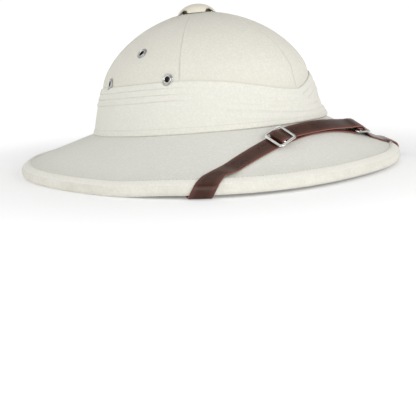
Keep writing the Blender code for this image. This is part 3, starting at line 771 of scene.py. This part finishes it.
def make_stitches(sizes, colours):
    """One row of thread stitches just below the binding's upper edge."""
    out, up = binding_rows()[2]
    round_it = np.linspace(0, 2 * pi, 2001)
    length = walked(rim_point(sizes, round_it, out, up))[:-1]
    count = int(length[-1] / sizes.stitch_pitch)
    middles = np.interp(np.arange(count) * length[-1] / count, length, round_it)
    centres = rim_point(sizes, middles, out, up)
    along = unit(rim_point(sizes, middles + 0.004, out, up) - rim_point(sizes, middles - 0.004, out, up))
    away = unit(rim_point(sizes, middles, out + 0.001, up + 0.0016) - centres)
    side = np.cross(along, away)
    centres, along, away, side = (part[:, None, None] for part in (centres, along, away, side))
    reach, fat, lift = (np.array(column)[:, None, None] for column in zip(*STITCH))
    angle = (np.arange(STITCH_SIDES) * 2 * pi / STITCH_SIDES)[:, None]
    radial = (np.cos(angle) * away + np.sin(angle) * side) * THREAD_RADIUS * fat
    points = centres + along * reach * sizes.stitch_length + away * lift + radial
    index = np.arange(points.size // 3).reshape(points.shape[:3])
    mesh = bpy.data.meshes.new("binding_stitches")
    mesh.from_pydata(points.reshape(-1, 3).tolist(), [], quads(index[:, :-1], index[:, 1:]))
    mesh.shade_smooth()
    finish = Finish("sewing_thread", roughness=0.8)
    finish.feed("Base Color", finish.mix(finish.noise(1600.0), colours.thread, darker(colours.thread, 0.75)))
    add_piece("binding_stitches", mesh, finish.material, "binding_cloth")


# Pugaree


def pugaree_top(turn):
    """Height of the pugaree's top edge: it falls gently to a V at the front and rises steeply past it."""
    away = signed_turn(turn - DIP_TURN)
    near = np.exp(-((np.abs(away) / DIP_SPREAD) ** 2))
    far = np.exp(-((np.abs(away) / FAR_SPREAD) ** FAR_SHARPNESS))
    return PUGAREE_TOP - FRONT_DIP * np.where(away > 0, near, far) + FRONT_TUCK * np.cos(turn)


def pleat_relief(below, size):
    """Narrow folds that follow the top edge, at a depth below it, and lines of painted shade between them.
    """
    height, line = np.zeros(below.shape), np.zeros(below.shape)
    for start in np.arange(PLEATS) * PLEAT_PITCH:
        end = start + PLEAT_PITCH
        inside = np.clip((below - start) / PLEAT_PITCH, 0.0, 1.0)
        fold = inside**0.8 * smooth_step((1.0 - inside) / 0.12)
        height += np.where((below >= start) & (below < end), fold, 0.0)
        line += np.exp(-(((below - end) / 0.0003) ** 2))
    return height * size, np.clip(line, 0.0, 1.0)


def soft_folds(away, share):
    """Loose folds that fan from the band's right side down to its overlap at the front."""
    along = np.clip(away / radians(78), -0.5, 1.0)
    shown = 1 - smooth_step((away - radians(28)) / radians(34))
    total = np.zeros(np.broadcast(away, share).shape)
    for at_front, at_side, height, width in SOFT_FOLDS:
        line = blend(at_front, at_side, along)
        across = (share - line) / width
        total = total + height * np.exp(-(np.where(across > 0, across * 1.9, across) ** 2)) * shown
    return total * SOFT_RELIEF


def band_relief(turn, share, below, sizes):
    """How far the band stands out beyond its wall, and its lines of painted shade."""
    away = signed_turn(turn - DIP_TURN)
    overlap = -OVERLAP_REACH * share**2
    near = smooth_step((away - overlap) / radians(1.2))
    near = near * (1 - smooth_step((away - radians(100)) / radians(40)))
    crisp = np.where(away > 0, smooth_step((away - radians(50)) / radians(34)), 0.0)
    crisp = np.maximum(crisp, 1 - near)
    pleats, line = pleat_relief(below, sizes.pleat_relief)
    step_down = smooth_step(below / (PLEATS * PLEAT_PITCH))
    relief = pleats * crisp + soft_folds(away, share) * near - sizes.pugaree_wall * 0.5 * (1 - step_down)
    lapped = near * (1 - smooth_step((away - radians(10)) / radians(50)))
    relief = relief + 0.0008 * lapped
    flare = smooth_step((share - 0.55) / 0.45) * np.exp(-(((away + radians(44)) / radians(17)) ** 2))
    relief = relief + FLARE * flare * near
    return relief, line * crisp * np.where(away < 0, 1.0, 0.55)


def make_pugaree(sizes, colours):
    turns = even_turns(420, (DIP_TURN,), tuple(radians(step) for step in (0.0, 0.2, 0.4, 0.6)))
    shares = np.linspace(0.0, 1.0, 100)[:, None]
    top, bottom = pugaree_top(turns)[None], FOOT_HEIGHT + GAP / 3
    height = blend(top, bottom - 0.0010, shares)
    relief, line = band_relief(turns[None], shares, top - height, sizes)
    hem = smooth_step((shares - 0.88) / 0.03) * 0.0004
    relief = relief + hem + ripple(turns[None], shares * 0.04, 5) * 0.00035 * smooth_step(shares / 0.1)
    # Painted shade along the fold of the hem, added to the pleat lines.
    line = line * 0.8 + 0.3 * np.exp(-(((shares - 0.88) / 0.008) ** 2))
    rounding = 0.0007 * (1 - np.minimum(smooth_step(shares / 0.02), smooth_step((1 - shares) / 0.02)))
    outer = crown_point(turns[None], height, GAP + sizes.pugaree_wall + relief - rounding)
    inner = crown_point(turns[None], blend(bottom, top, np.linspace(0.0, 1.0, 8)[:, None]), GAP)
    points = lean(np.concatenate([outer, inner]))
    # Darker towards the bottom.
    worn = np.full(points.shape[:2], 0.15)
    worn[: len(shares)] += 0.25 * smooth_step((shares - 0.8) / 0.2)
    lines = np.zeros(points.shape[:2])
    lines[: len(shares)] = line
    mesh = skin("pugaree_band", points, closed_run=True, marks={"worn": worn, "line": lines})
    finish = cotton("pugaree_cotton", colours.pugaree, colours.grime_and_shade, *PUGAREE_WEAVE)
    band = add_piece("pugaree_band", mesh, finish, "pugaree_cloth", "pugaree")
    cut_eyelet_holes(band, ("front", "back"), sizes.eyelet_flange / 2 + 2 * GAP, 0.012)


# Turned pieces


def turned(name, profile, steps, marks=None):
    """Solid of revolution from a closed profile of (radius, height) that runs down the outer side."""
    around = -np.arange(steps) * 2 * pi / steps
    across, up = np.array(profile)[:, :, None].transpose(1, 0, 2)
    points = np.stack([across * np.cos(around), across * np.sin(around), up + 0 * around], -1)
    return skin(name, points, closed_run=True, marks=marks)


def arc(centre, radius, start, end, steps):
    """Points of an arc in the (radius, height) plane, in degrees from straight up towards outwards."""
    spots = []
    for step in range(steps + 1):
        turn = radians(blend(start, end, step / steps))
        spots.append((centre[0] + radius * sin(turn), centre[1] + radius * cos(turn)))
    return spots


# First point of the button's profile on the underside of its cap; from here inwards the profile is painted
# dark brown as shade.
UNDER_CAP = 22


def make_button(sizes, colours):
    radius, rise = sizes.button_diameter / 2, sizes.button_rise
    wall, skirt, cap, underside = 0.0014, -0.0011, radians(66), -0.0006
    window_half, window_height, window_top = 0.0076, 0.0044, 0.12

    def dome(share, inset):
        """Point of the spherical cap, from its top (0) to its skirt (1)."""
        drop = (cos(share * cap) - cos(cap)) / (1 - cos(cap))
        return (radius - inset) * sin(share * cap) / sin(cap), blend(skirt + 0.0005, rise - inset, drop)

    profile = [(0.00005, rise)] + [dome(step / 18, 0.0) for step in range(1, 19)]
    profile += [(radius + 0.00005, skirt + 0.0003), (radius - 0.0002, skirt), (radius - wall, skirt)]
    profile += [dome(blend(0.97, 0.74, step / 4), wall) for step in range(5)]
    post, collar = BUTTON_POST / 2, profile[-1][0]
    profile += [(collar, underside), (post, underside), (post, -0.0045), (0.00005, -0.0045)]
    # Painted shade: the cap's underside, the collar and the post are marked to be painted dark brown.
    inner = (np.arange(len(profile)) >= UNDER_CAP)[:, None]
    mesh = turned("vent_button_cap", profile, 64, {"inner": inner})
    lean_back = Matrix.Translation((0.0, CROWN_SETBACK, 0.0)) @ Matrix.Rotation(-CROWN_LEAN, 4, "X")
    top = lean_back @ Matrix.Translation((0.0, 0.0, CROWN_HEIGHT))
    mesh.transform(top)
    finish = cream_paint("cream_paint", colours.button)
    button = add_piece("vent_button_cap", mesh, finish, "button_cream", "vent_button")
    low, high, narrow = skirt - 0.002, skirt + window_height, window_half * window_top
    for index in range(4):
        spots = [
            [(x, -window_half, low), (x, -narrow, high), (x, narrow, high), (x, window_half, low)]
            for x in (collar + radius, collar + 0.0004)
        ]
        window = skin("window", np.array(spots), capped=True)
        window.shade_flat()
        window.transform(top @ Matrix.Rotation(index * pi / 2, 4, "Z"))
        cut_with(button, window)


def make_eyelets(sizes, colours):
    flange, bore = sizes.eyelet_flange / 2, sizes.eyelet_bore / 2
    barrel, roll, lip = 0.0031, 0.0007, 0.0005
    inside = -sizes.crown_wall - 0.0009
    profile = arc((bore + roll, GAP + 0.0002), roll, -90, 60, 8)
    groove = len(profile)
    profile += [(bore + 2.1 * roll, GAP + 0.00018), (flange - 2.6 * lip, GAP + 0.0001)]
    profile += arc((flange - lip, GAP - 0.00005), lip, -50, 90, 8)
    edge = len(profile)
    profile += [(flange - 0.0002, GAP - 0.00015), (barrel, GAP), (barrel, inside)]
    profile += arc((0.0036, inside - 0.00045), 0.00045, 10, 180, 6) + [(bore, inside - 0.0006)]
    # Painted shade, near black, standing in for dark reflections: in the groove, at the bore and round the
    # flange's outer edge; a slight darkening elsewhere.
    tarnish = np.full((len(profile), 1), 0.1)
    tarnish[groove - 1 : groove + 3] = 0.7
    tarnish[edge - 2 :] = 1.0
    tarnish[:2, 0] = 1.0, 0.5
    for side, sign in (("right", 1), ("left", -1)):
        for name, (angle, height) in EYELETS.items():
            label = f"eyelet_{side}_{name}"
            mesh = turned(label, profile, 40, {"tarnish": tarnish})
            mesh.transform(crown_place(sign * angle, height))
            add_piece(label, mesh, nickel_plate(colours.nickel), "nickel", f"vent_{label}")


# Chin strap


def strap_line(sizes, x):
    return -STRAP_FRONT + STRAP_BOW * (x / (sizes.rim_width / 2)) ** 2


def brim_place(sizes, x, y):
    """Point of the brim's top face above (x, y), for the brim's front half, and the normal there."""
    low, high = radians(-89), radians(89)
    for _ in range(40):
        turn = (low + high) / 2
        foot, edge = brim_top(sizes, turn, 0.0), brim_top(sizes, turn, 1.0)
        share = (y - foot[1]) / (edge[1] - foot[1])
        if blend(foot[0], edge[0], share) > x:
            low = turn
        else:
            high = turn
    point = blend(foot, edge, share)
    beside = brim_top(sizes, turn + 0.01, share) - brim_top(sizes, turn - 0.01, share)
    normal = unit(np.cross(edge - foot, beside))
    return point, normal * np.sign(normal[2])


def strap_frame(sizes, x):
    """Point under the strap's middle, and its along, across and normal directions there."""
    step = 0.002
    point, normal = brim_place(sizes, x, strap_line(sizes, x))
    before = brim_place(sizes, x - step, strap_line(sizes, x - step))[0]
    after = brim_place(sizes, x + step, strap_line(sizes, x + step))[0]
    along = unit(after - before)
    return point, along, unit(np.cross(normal, along)), normal


def run_corners(sizes, path):
    """Corners of the sections over the brim, from a path of (x, height of the leather's middle)."""
    frames = [strap_frame(sizes, x) for x, _ in path]
    middles = [point + normal * height for (point, _, _, normal), (_, height) in zip(frames, path)]
    heading = 1 if path[-1][0] > path[0][0] else -1
    sections = []
    for i, (middle, (_, _, across, _)) in enumerate(zip(middles, frames)):
        before, after = middles[max(i - 1, 0)], middles[min(i + 1, len(middles) - 1)]
        up = unit(np.cross(unit(after - before) * heading, across))
        wide, thick = across * sizes.strap_width / 2, up * sizes.strap_thickness / 2
        low, high = middle - thick, middle + thick
        sections.append([low + wide, high + wide, high - wide, low - wide])
    return sections


def brim_rails(sizes, x_back, x_front, side, rise):
    """Section over the brim, raised by rise, with its two edges at different x."""
    half = sizes.strap_width / 2 * PLAN_SHARE
    found = []
    for x, offset in ((x_back, half), (x_front, -half)):
        point, normal = brim_place(sizes, side * x, strap_line(sizes, side * x) + offset)
        low = GAP + rise
        found.append((point + normal * low, point + normal * (low + sizes.strap_thickness)))
    (back_in, back_out), (front_in, front_out) = found
    return [back_in, back_out, front_out, front_in]


def rim_crossing(sizes, offset):
    half_length = sizes.rim_length / 2 - EDGE_BULGE + BINDING_SECTION[0][0]
    share = (STRAP_FRONT - STRAP_BOW * RIM_BOW_SHARE - offset) / half_length
    return acos(share ** (RIM_SQUARENESS / 2))


def rim_sections(sizes, side):
    """Sections that wrap the rim, from the stitched line on top to the hem below."""
    inner = offset_section(BINDING_SECTION, GAP + WRAP_SLACK)
    outer = offset_section(BINDING_SECTION, GAP + WRAP_SLACK + sizes.strap_thickness)
    half = sizes.strap_width / 2 * PLAN_SHARE
    back, front = rim_crossing(sizes, half), rim_crossing(sizes, -half)
    steps = np.linalg.norm(np.diff(BINDING_SECTION, axis=0), axis=1)
    sections = []
    for row in range(BOTTOM_INNER + 1):
        turned_by = WRAP_LEAN * steps[:row].sum() / (sizes.rim_length / 2)
        sections.append([
            rim_point(sizes, side * (edge + turned_by), *section[row])
            for edge, section in ((back, inner), (back, outer), (front, outer), (front, inner))
        ])
    return sections


def anchor_sections(sizes, side):
    """Sections of the hidden end, up the crown's inner wall."""
    near = sizes.crown_wall + GAP
    far = near + sizes.strap_thickness
    low, high = (0.0, 0.0), (ANCHOR_LEAN, ANCHOR_RISE)
    return [
        [
            lean(crown_point(np.array(side * (angle - turn)), np.array(height + rise), -depth))
            for (turn, rise), depth in ((low, near), (low, far), (high, far), (high, near))
        ]
        for angle, height in ANCHOR_ROWS
    ]


def loop_path(bar_x, bar_height, away, reach):
    """Path of the leather round a buckle's bar, from above it to below it."""
    turns = [radians(turn) for turn in range(0, 181, 30)]
    return [(bar_x - away * reach * sin(turn), bar_height + reach * cos(turn)) for turn in turns]


def buckle_heights(sizes):
    """Heights over the brim of the layers and bars."""
    leather = sizes.strap_thickness
    low = GAP + leather / 2
    second = low + leather + GAP
    third = second + leather + GAP
    loop = BUCKLE_WIRE / 2 + GAP + leather / 2
    half_leather, half_wire = leather / 2, BUCKLE_WIRE / 2
    right_bar = second + loop
    right_inner = third + half_leather + 1.5 * GAP + half_wire
    half = BUCKLE_LENGTH / 2 - half_wire
    rise = (right_inner - right_bar) / (half + BAR_OFFSET)
    right_outer = right_bar - rise * (half - BAR_OFFSET)
    left_inner = low + half_leather + 2.5 * GAP + half_wire
    left_outer = left_inner + LEFT_BUCKLE_TILT
    left_bar = left_inner + (left_outer - left_inner) * (half - BAR_OFFSET) / (2 * half)
    return {
        "low": low, "second": second, "third": third, "loop": loop,
        "right_bar": right_bar, "right_inner": right_inner, "right_outer": right_outer,
        "left_bar": left_bar, "left_inner": left_inner, "left_outer": left_outer,
    }


def right_strap_run(sizes):
    """Lower strap: from its loop on the left buckle to the right side of the rim."""
    high = buckle_heights(sizes)
    bar_x = BUCKLE_LEFT_X - BAR_OFFSET
    path = [(bar_x - LOOP_CURL, high["left_bar"] + 0.8 * high["loop"])]
    path += loop_path(bar_x, high["left_bar"], -1, high["loop"])
    path += [(bar_x - distance, high["low"] + lift) for distance, lift in LOWER_RUN]
    while path[-1][0] - BRIM_STEP > BRIM_RUN_END:
        path.append((path[-1][0] - BRIM_STEP, high["low"]))
    return path


def left_strap_run(sizes):
    """Upper strap: from its loop on the right buckle to the left side of the rim."""
    high = buckle_heights(sizes)
    bar_x, left_bar_x = BUCKLE_RIGHT_X - BAR_OFFSET, BUCKLE_LEFT_X - BAR_OFFSET
    over = high["left_bar"] + 2 * high["loop"] + GAP
    outer_x = BUCKLE_LEFT_X + BUCKLE_LENGTH / 2 - BUCKLE_WIRE / 2
    under = high["left_outer"] - BUCKLE_WIRE / 2 - 1.5 * GAP - sizes.strap_thickness / 2
    path = [(bar_x + BUCKLE_LENGTH / 2 + LOOP_TAIL, high["second"]), (bar_x + 0.006, high["second"])]
    path += reversed(loop_path(bar_x, high["right_bar"], 1, high["loop"]))
    path += [(bar_x + distance, high[layer] + lift) for distance, layer, lift in UPPER_RUN]
    path += [(left_bar_x + distance, over - drop) for distance, drop in OVER_LOOP]
    path.append((blend(left_bar_x, outer_x, 0.5), blend(over, under, 0.4)))
    path += [(outer_x + distance, blend(under, high["low"], share)) for distance, share in AFTER_BAR]
    return path


def strap_mesh(sizes, name, side, path):
    """A strap from its buckle loop, over the rim, to its end inside the crown."""
    sections = run_corners(sizes, path)
    last_x = abs(sections[-1][0][0])
    rim, anchor = rim_sections(sizes, side), anchor_sections(sizes, side)
    for share, rise in ((0.35, 0.0), (0.75, sizes.binding_cloth + 2 * GAP)):
        back, front = (blend(last_x, abs(rim[0][corner][0]), share) for corner in (0, 3))
        sections.append(brim_rails(sizes, back, front, -side, rise))
    sections += rim
    for step in range(1, 4):
        sections.append([blend(a, b, step / 4) for a, b in zip(rim[-1], anchor[0])])
    corners = curve_through(np.array(sections + anchor), 5)
    back_in, back_out, front_out, front_in = (corners[:, [i]] for i in range(4))
    across, up = np.array(LEATHER_SECTION).T
    share = across[:, None]
    points = blend(blend(back_in, front_in, share), blend(back_out, front_out, share), up[:, None])
    edge = ((across < 0.01) | (across > 0.99)).astype(float)
    rubbed = np.where((np.abs(across - 0.5) > 0.42) & (up > 0.9), 0.8, 0.1)
    if side < 0:
        points, edge, rubbed = points[:, ::-1], edge[::-1], rubbed[::-1]
    return skin(name, points, capped=True, marks={"edge": edge[None], "rubbed": rubbed[None]})


def make_straps(sizes, colours):
    finish = polished_leather("polished_leather", colours.leather, colours.raw_edge)
    for label, side, run in (("right", 1, right_strap_run), ("left", -1, left_strap_run)):
        mesh = strap_mesh(sizes, f"strap_leather_{label}", side, run(sizes))
        add_piece(f"strap_leather_{label}", mesh, finish, "strap_leather", f"chin_strap_{label}")


# Buckles

# How much further the frame's section reaches outwards than a round wire's.
BUCKLE_FLARE = 2.3

# How much thinner the middle bar is than the frame's wire.
BAR_SHARE = 0.96


def tube(centres, sideways, upright, radius, wide=1.0, sides=16):
    """Rings of points round a line of centres; wide stretches the section on its outer side."""
    turns = np.arange(sides)[:, None] * 2 * pi / sides
    reach = np.cos(turns) * np.where(np.cos(turns) > 0, wide, 1.0)
    return centres[:, None] + (sideways[:, None] * reach + upright * np.sin(turns)) * radius


def make_buckle(sizes, colours, label, side, x):
    """Wire frame with a middle bar, tilted between the heights of its two end bars."""
    high = buckle_heights(sizes)
    inner, outer, bar = (high[f"{label}_{part}"] for part in ("inner", "outer", "bar"))
    name, finish = f"slide_buckle_{label}", nickel_plate(colours.nickel)
    point, along, across, normal = strap_frame(sizes, x)
    half_along = BUCKLE_LENGTH / 2 - BUCKLE_WIRE / 2
    half_across = sizes.strap_width / 2 + 2 * GAP + BUCKLE_WIRE / 2
    tilt_line = unit(along * side * 2 * half_along + normal * (outer - inner))
    middle = point + normal * (inner + outer) / 2
    outline = []
    for index, signs in enumerate(((1, 1), (-1, 1), (-1, -1), (1, -1))):
        centre = np.array(signs) * (half_along - BUCKLE_CORNER, half_across - BUCKLE_CORNER)
        for part in range(0, 91, 15):
            turn = radians(index * 90 + part)
            outline.append(centre + BUCKLE_CORNER * np.array((cos(turn), sin(turn))))
    outline = np.array(outline)
    run = unit(np.roll(outline, -1, 0) - np.roll(outline, 1, 0))
    centres = middle + outline[:, :1] * tilt_line + outline[:, 1:] * across
    sideways = run[:, 1:] * tilt_line - run[:, :1] * across
    upright = unit(np.cross(tilt_line, across))
    rings = tube(centres, sideways, upright, BUCKLE_WIRE / 2, BUCKLE_FLARE)
    add_piece(name, skin(name, rings, closed_run=True), finish, "nickel", f"buckle_{label}")
    point, _, across, normal = strap_frame(sizes, x - BAR_OFFSET)
    centres = point + normal * bar + across * np.linspace(-half_across, half_across, 5)[:, None]
    sideways = unit(np.cross(across, normal))[None]
    rings = tube(centres, sideways, normal, BUCKLE_WIRE / 2 * BAR_SHARE)
    add_piece(f"{name}_bar", skin(f"{name}_bar", rings, capped=True), finish, "nickel")


def finish_rivets(colours):
    for side in ("left", "right"):
        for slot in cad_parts[f"strap_rivet_{side}"].material_slots:
            slot.material = nickel_plate(colours.nickel)


# Stage

# Where the camera stands: angle round the helmet, height angle, roll, distance, and the point it circles.
CAMERA_AZIMUTH, CAMERA_ELEVATION, CAMERA_ROLL = radians(-44.4), radians(3.5), radians(-2.9)
CAMERA_DISTANCE = 0.857
CAMERA_TARGET = (0.0, 0.0, 0.080)
TARGET_PIXEL = (204.2, 76.2)
PICTURE = 416
LENS_FOCUS = 941.8

# Area lights. Columns: name, place, size, power.
LIGHTS = (
    ("key", (0.1, -2.1, 1.0), 1.2, 14.6),
    ("fill", (-1.5, -1.3, 0.6), 1.4, 8.5),
    ("back", (-1.6, 0.75, 1.35), 1.2, 5.5),
)

# Room light, grey above the horizon and white overhead. Columns: height of the direction (-1 to 1),
# brightness.
ROOM_LIGHT = ((-1.0, 0.8), (-0.02, 1.05), (0.14, 1.05), (0.42, 0.66), (0.64, 0.10), (1.0, 1.0))

# Glow of the white floor, weaker near the helmet, which paints a soft shade round it. Columns: distance from
# the helmet's middle, brightness.
FLOOR_GLOW = ((0.14, 0.12), (0.32, 0.36), (1.5, 0.62))
FLOOR_RADIUS = 6.0


def make_camera():
    azimuth, elevation, roll = CAMERA_AZIMUTH, CAMERA_ELEVATION, CAMERA_ROLL
    back = Vector((sin(azimuth) * cos(elevation), -cos(azimuth) * cos(elevation), sin(elevation)))
    level = Vector((cos(azimuth), sin(azimuth), 0.0))
    upright = back.cross(level)
    right = cos(roll) * level + sin(roll) * upright
    up = cos(roll) * upright - sin(roll) * level
    across, down = (PICTURE / 2 - pixel for pixel in TARGET_PIXEL)
    ahead = (-back * LENS_FOCUS + right * across - up * down).normalized()
    right = (right - ahead * right.dot(ahead)).normalized()
    turn = Matrix((right, right.cross(ahead), -ahead)).transposed().to_4x4()
    data = bpy.data.cameras.new("camera")
    data.sensor_width = 36.0
    data.lens = LENS_FOCUS / PICTURE * data.sensor_width
    camera = show(bpy.data.objects.new("camera", data))
    camera.matrix_world = Matrix.Translation(Vector(CAMERA_TARGET) + back * CAMERA_DISTANCE) @ turn
    bpy.context.scene.camera = camera


def make_floor():
    turns = -even_turns(48)
    ring = np.stack([np.cos(turns), np.sin(turns), np.zeros(48)], -1)
    rows = np.array([ring * reach - (0.0, 0.0, 0.0001) for reach in (0.002, 0.5, 2.0, FLOOR_RADIUS)])
    finish = Finish("floor_white", roughness=0.9, emission_strength=1.0)
    finish.feed("Base Color", finish.mix(finish.noise(1.5), (0.86, 0.86, 0.86), (0.88, 0.88, 0.88)))
    away = finish.node("ShaderNodeVectorMath", {"operation": "LENGTH"}, {0: finish.place()}, "Value")
    stops = [(reach / FLOOR_RADIUS, glow) for reach, glow in FLOOR_GLOW]
    # Painted light: the floor glows, less near the helmet.
    finish.feed("Emission Color", finish.grey_ramp(away * (1 / FLOOR_RADIUS), stops))
    mesh = skin("floor", rows)
    mesh.materials.append(finish.material)
    floor = show(bpy.data.objects.new("floor", mesh))


def make_lights():
    for name, place, size, power in LIGHTS:
        data = bpy.data.lights.new(name, "AREA")
        data.shape, data.size, data.energy = "DISK", size, power
        lamp = show(bpy.data.objects.new(name, data))
        lamp.location = place
        lamp.rotation_mode = "QUATERNION"
        lamp.rotation_quaternion = (Vector((0, 0, 0.05)) - Vector(place)).to_track_quat("-Z", "Y")


def make_room_light():
    world = bpy.data.worlds.new("studio")
    bpy.context.scene.world = world
    bpy.context.scene.view_settings.view_transform = "Standard"
    world.use_nodes = True
    nodes = Nodes(world.node_tree)
    place = nodes.node("ShaderNodeTexCoord", output="Generated")
    height = nodes.node("ShaderNodeSeparateXYZ", None, {0: place}, "Z")
    level = nodes.node("ShaderNodeMapRange", None, {"Value": height, "From Min": -1.0})
    stops = [((rise + 1) / 2, light) for rise, light in ROOM_LIGHT]
    plug(nodes.tree, nodes.tree.nodes["Background"].inputs["Color"], nodes.grey_ramp(level, stops))


# Operators


class AddCrown(bpy.types.Operator):
    """Adds the cloth-covered crown with its gore seams and vent holes"""

    bl_idname = "pith_helmet.crown"
    bl_label = "Crown"

    def execute(self, context):
        make_crown(context.scene.pith_sizes, context.scene.pith_colours)
        return {"FINISHED"}


class AddBrim(bpy.types.Operator):
    """Adds the sloping cloth-covered brim"""

    bl_idname = "pith_helmet.brim"
    bl_label = "Brim"

    def execute(self, context):
        make_brim(context.scene.pith_sizes, context.scene.pith_colours)
        return {"FINISHED"}


class AddBinding(bpy.types.Operator):
    """Adds the rim binding and its row of stitches"""

    bl_idname = "pith_helmet.binding"
    bl_label = "Rim binding"

    def execute(self, context):
        make_binding(context.scene.pith_sizes, context.scene.pith_colours)
        make_stitches(context.scene.pith_sizes, context.scene.pith_colours)
        return {"FINISHED"}


class AddPugaree(bpy.types.Operator):
    """Adds the pleated band round the crown"""

    bl_idname = "pith_helmet.pugaree"
    bl_label = "Pugaree"

    def execute(self, context):
        make_pugaree(context.scene.pith_sizes, context.scene.pith_colours)
        return {"FINISHED"}


class AddButton(bpy.types.Operator):
    """Adds the vent button on top"""

    bl_idname = "pith_helmet.button"
    bl_label = "Vent button"

    def execute(self, context):
        make_button(context.scene.pith_sizes, context.scene.pith_colours)
        return {"FINISHED"}


class AddEyelets(bpy.types.Operator):
    """Adds the nickel vent eyelets"""

    bl_idname = "pith_helmet.eyelets"
    bl_label = "Vent eyelets"

    def execute(self, context):
        make_eyelets(context.scene.pith_sizes, context.scene.pith_colours)
        return {"FINISHED"}


class AddStraps(bpy.types.Operator):
    """Adds the leather chin straps and finishes the rivets that hold them"""

    bl_idname = "pith_helmet.straps"
    bl_label = "Chin straps"

    def execute(self, context):
        make_straps(context.scene.pith_sizes, context.scene.pith_colours)
        finish_rivets(context.scene.pith_colours)
        return {"FINISHED"}


class AddBuckles(bpy.types.Operator):
    """Adds the two slide buckles"""

    bl_idname = "pith_helmet.buckles"
    bl_label = "Buckles"

    def execute(self, context):
        sizes, colours = context.scene.pith_sizes, context.scene.pith_colours
        make_buckle(sizes, colours, "right", -1, BUCKLE_RIGHT_X)
        make_buckle(sizes, colours, "left", 1, BUCKLE_LEFT_X)
        return {"FINISHED"}


class AddStage(bpy.types.Operator):
    """Adds the floor, the soft lights and the camera"""

    bl_idname = "pith_helmet.stage"
    bl_label = "Stage"

    def execute(self, context):
        make_camera()
        make_floor()
        make_lights()
        make_room_light()
        return {"FINISHED"}


STEPS = (AddCrown, AddBrim, AddBinding, AddPugaree, AddButton, AddEyelets, AddStraps, AddBuckles, AddStage)


class HelmetPanel(bpy.types.Panel):
    """Lists the helmet's sizes, colours and steps"""

    bl_idname = "VIEW3D_PT_pith_helmet"
    bl_label = "Pith Helmet"
    bl_space_type = "VIEW_3D"
    bl_region_type = "UI"
    bl_category = "Pith Helmet"

    def draw(self, context):
        for group in (context.scene.pith_sizes, context.scene.pith_colours):
            box = self.layout.box()
            for name in group.__annotations__:
                box.prop(group, name)
        for step in STEPS:
            self.layout.operator(step.bl_idname)


CLASSES = (HelmetSizes, HelmetColours, *STEPS, HelmetPanel)


def register():
    for made in CLASSES:
        bpy.utils.register_class(made)
    bpy.types.Scene.pith_sizes = bpy.props.PointerProperty(type=HelmetSizes)
    bpy.types.Scene.pith_colours = bpy.props.PointerProperty(type=HelmetColours)


def unregister():
    del bpy.types.Scene.pith_colours
    del bpy.types.Scene.pith_sizes
    for made in reversed(CLASSES):
        bpy.utils.unregister_class(made)


def main():
    register()
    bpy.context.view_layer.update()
    for step in STEPS:
        group, name = step.bl_idname.split(".")
        getattr(getattr(bpy.ops, group), name)()


if __name__ == "__main__":
    main()
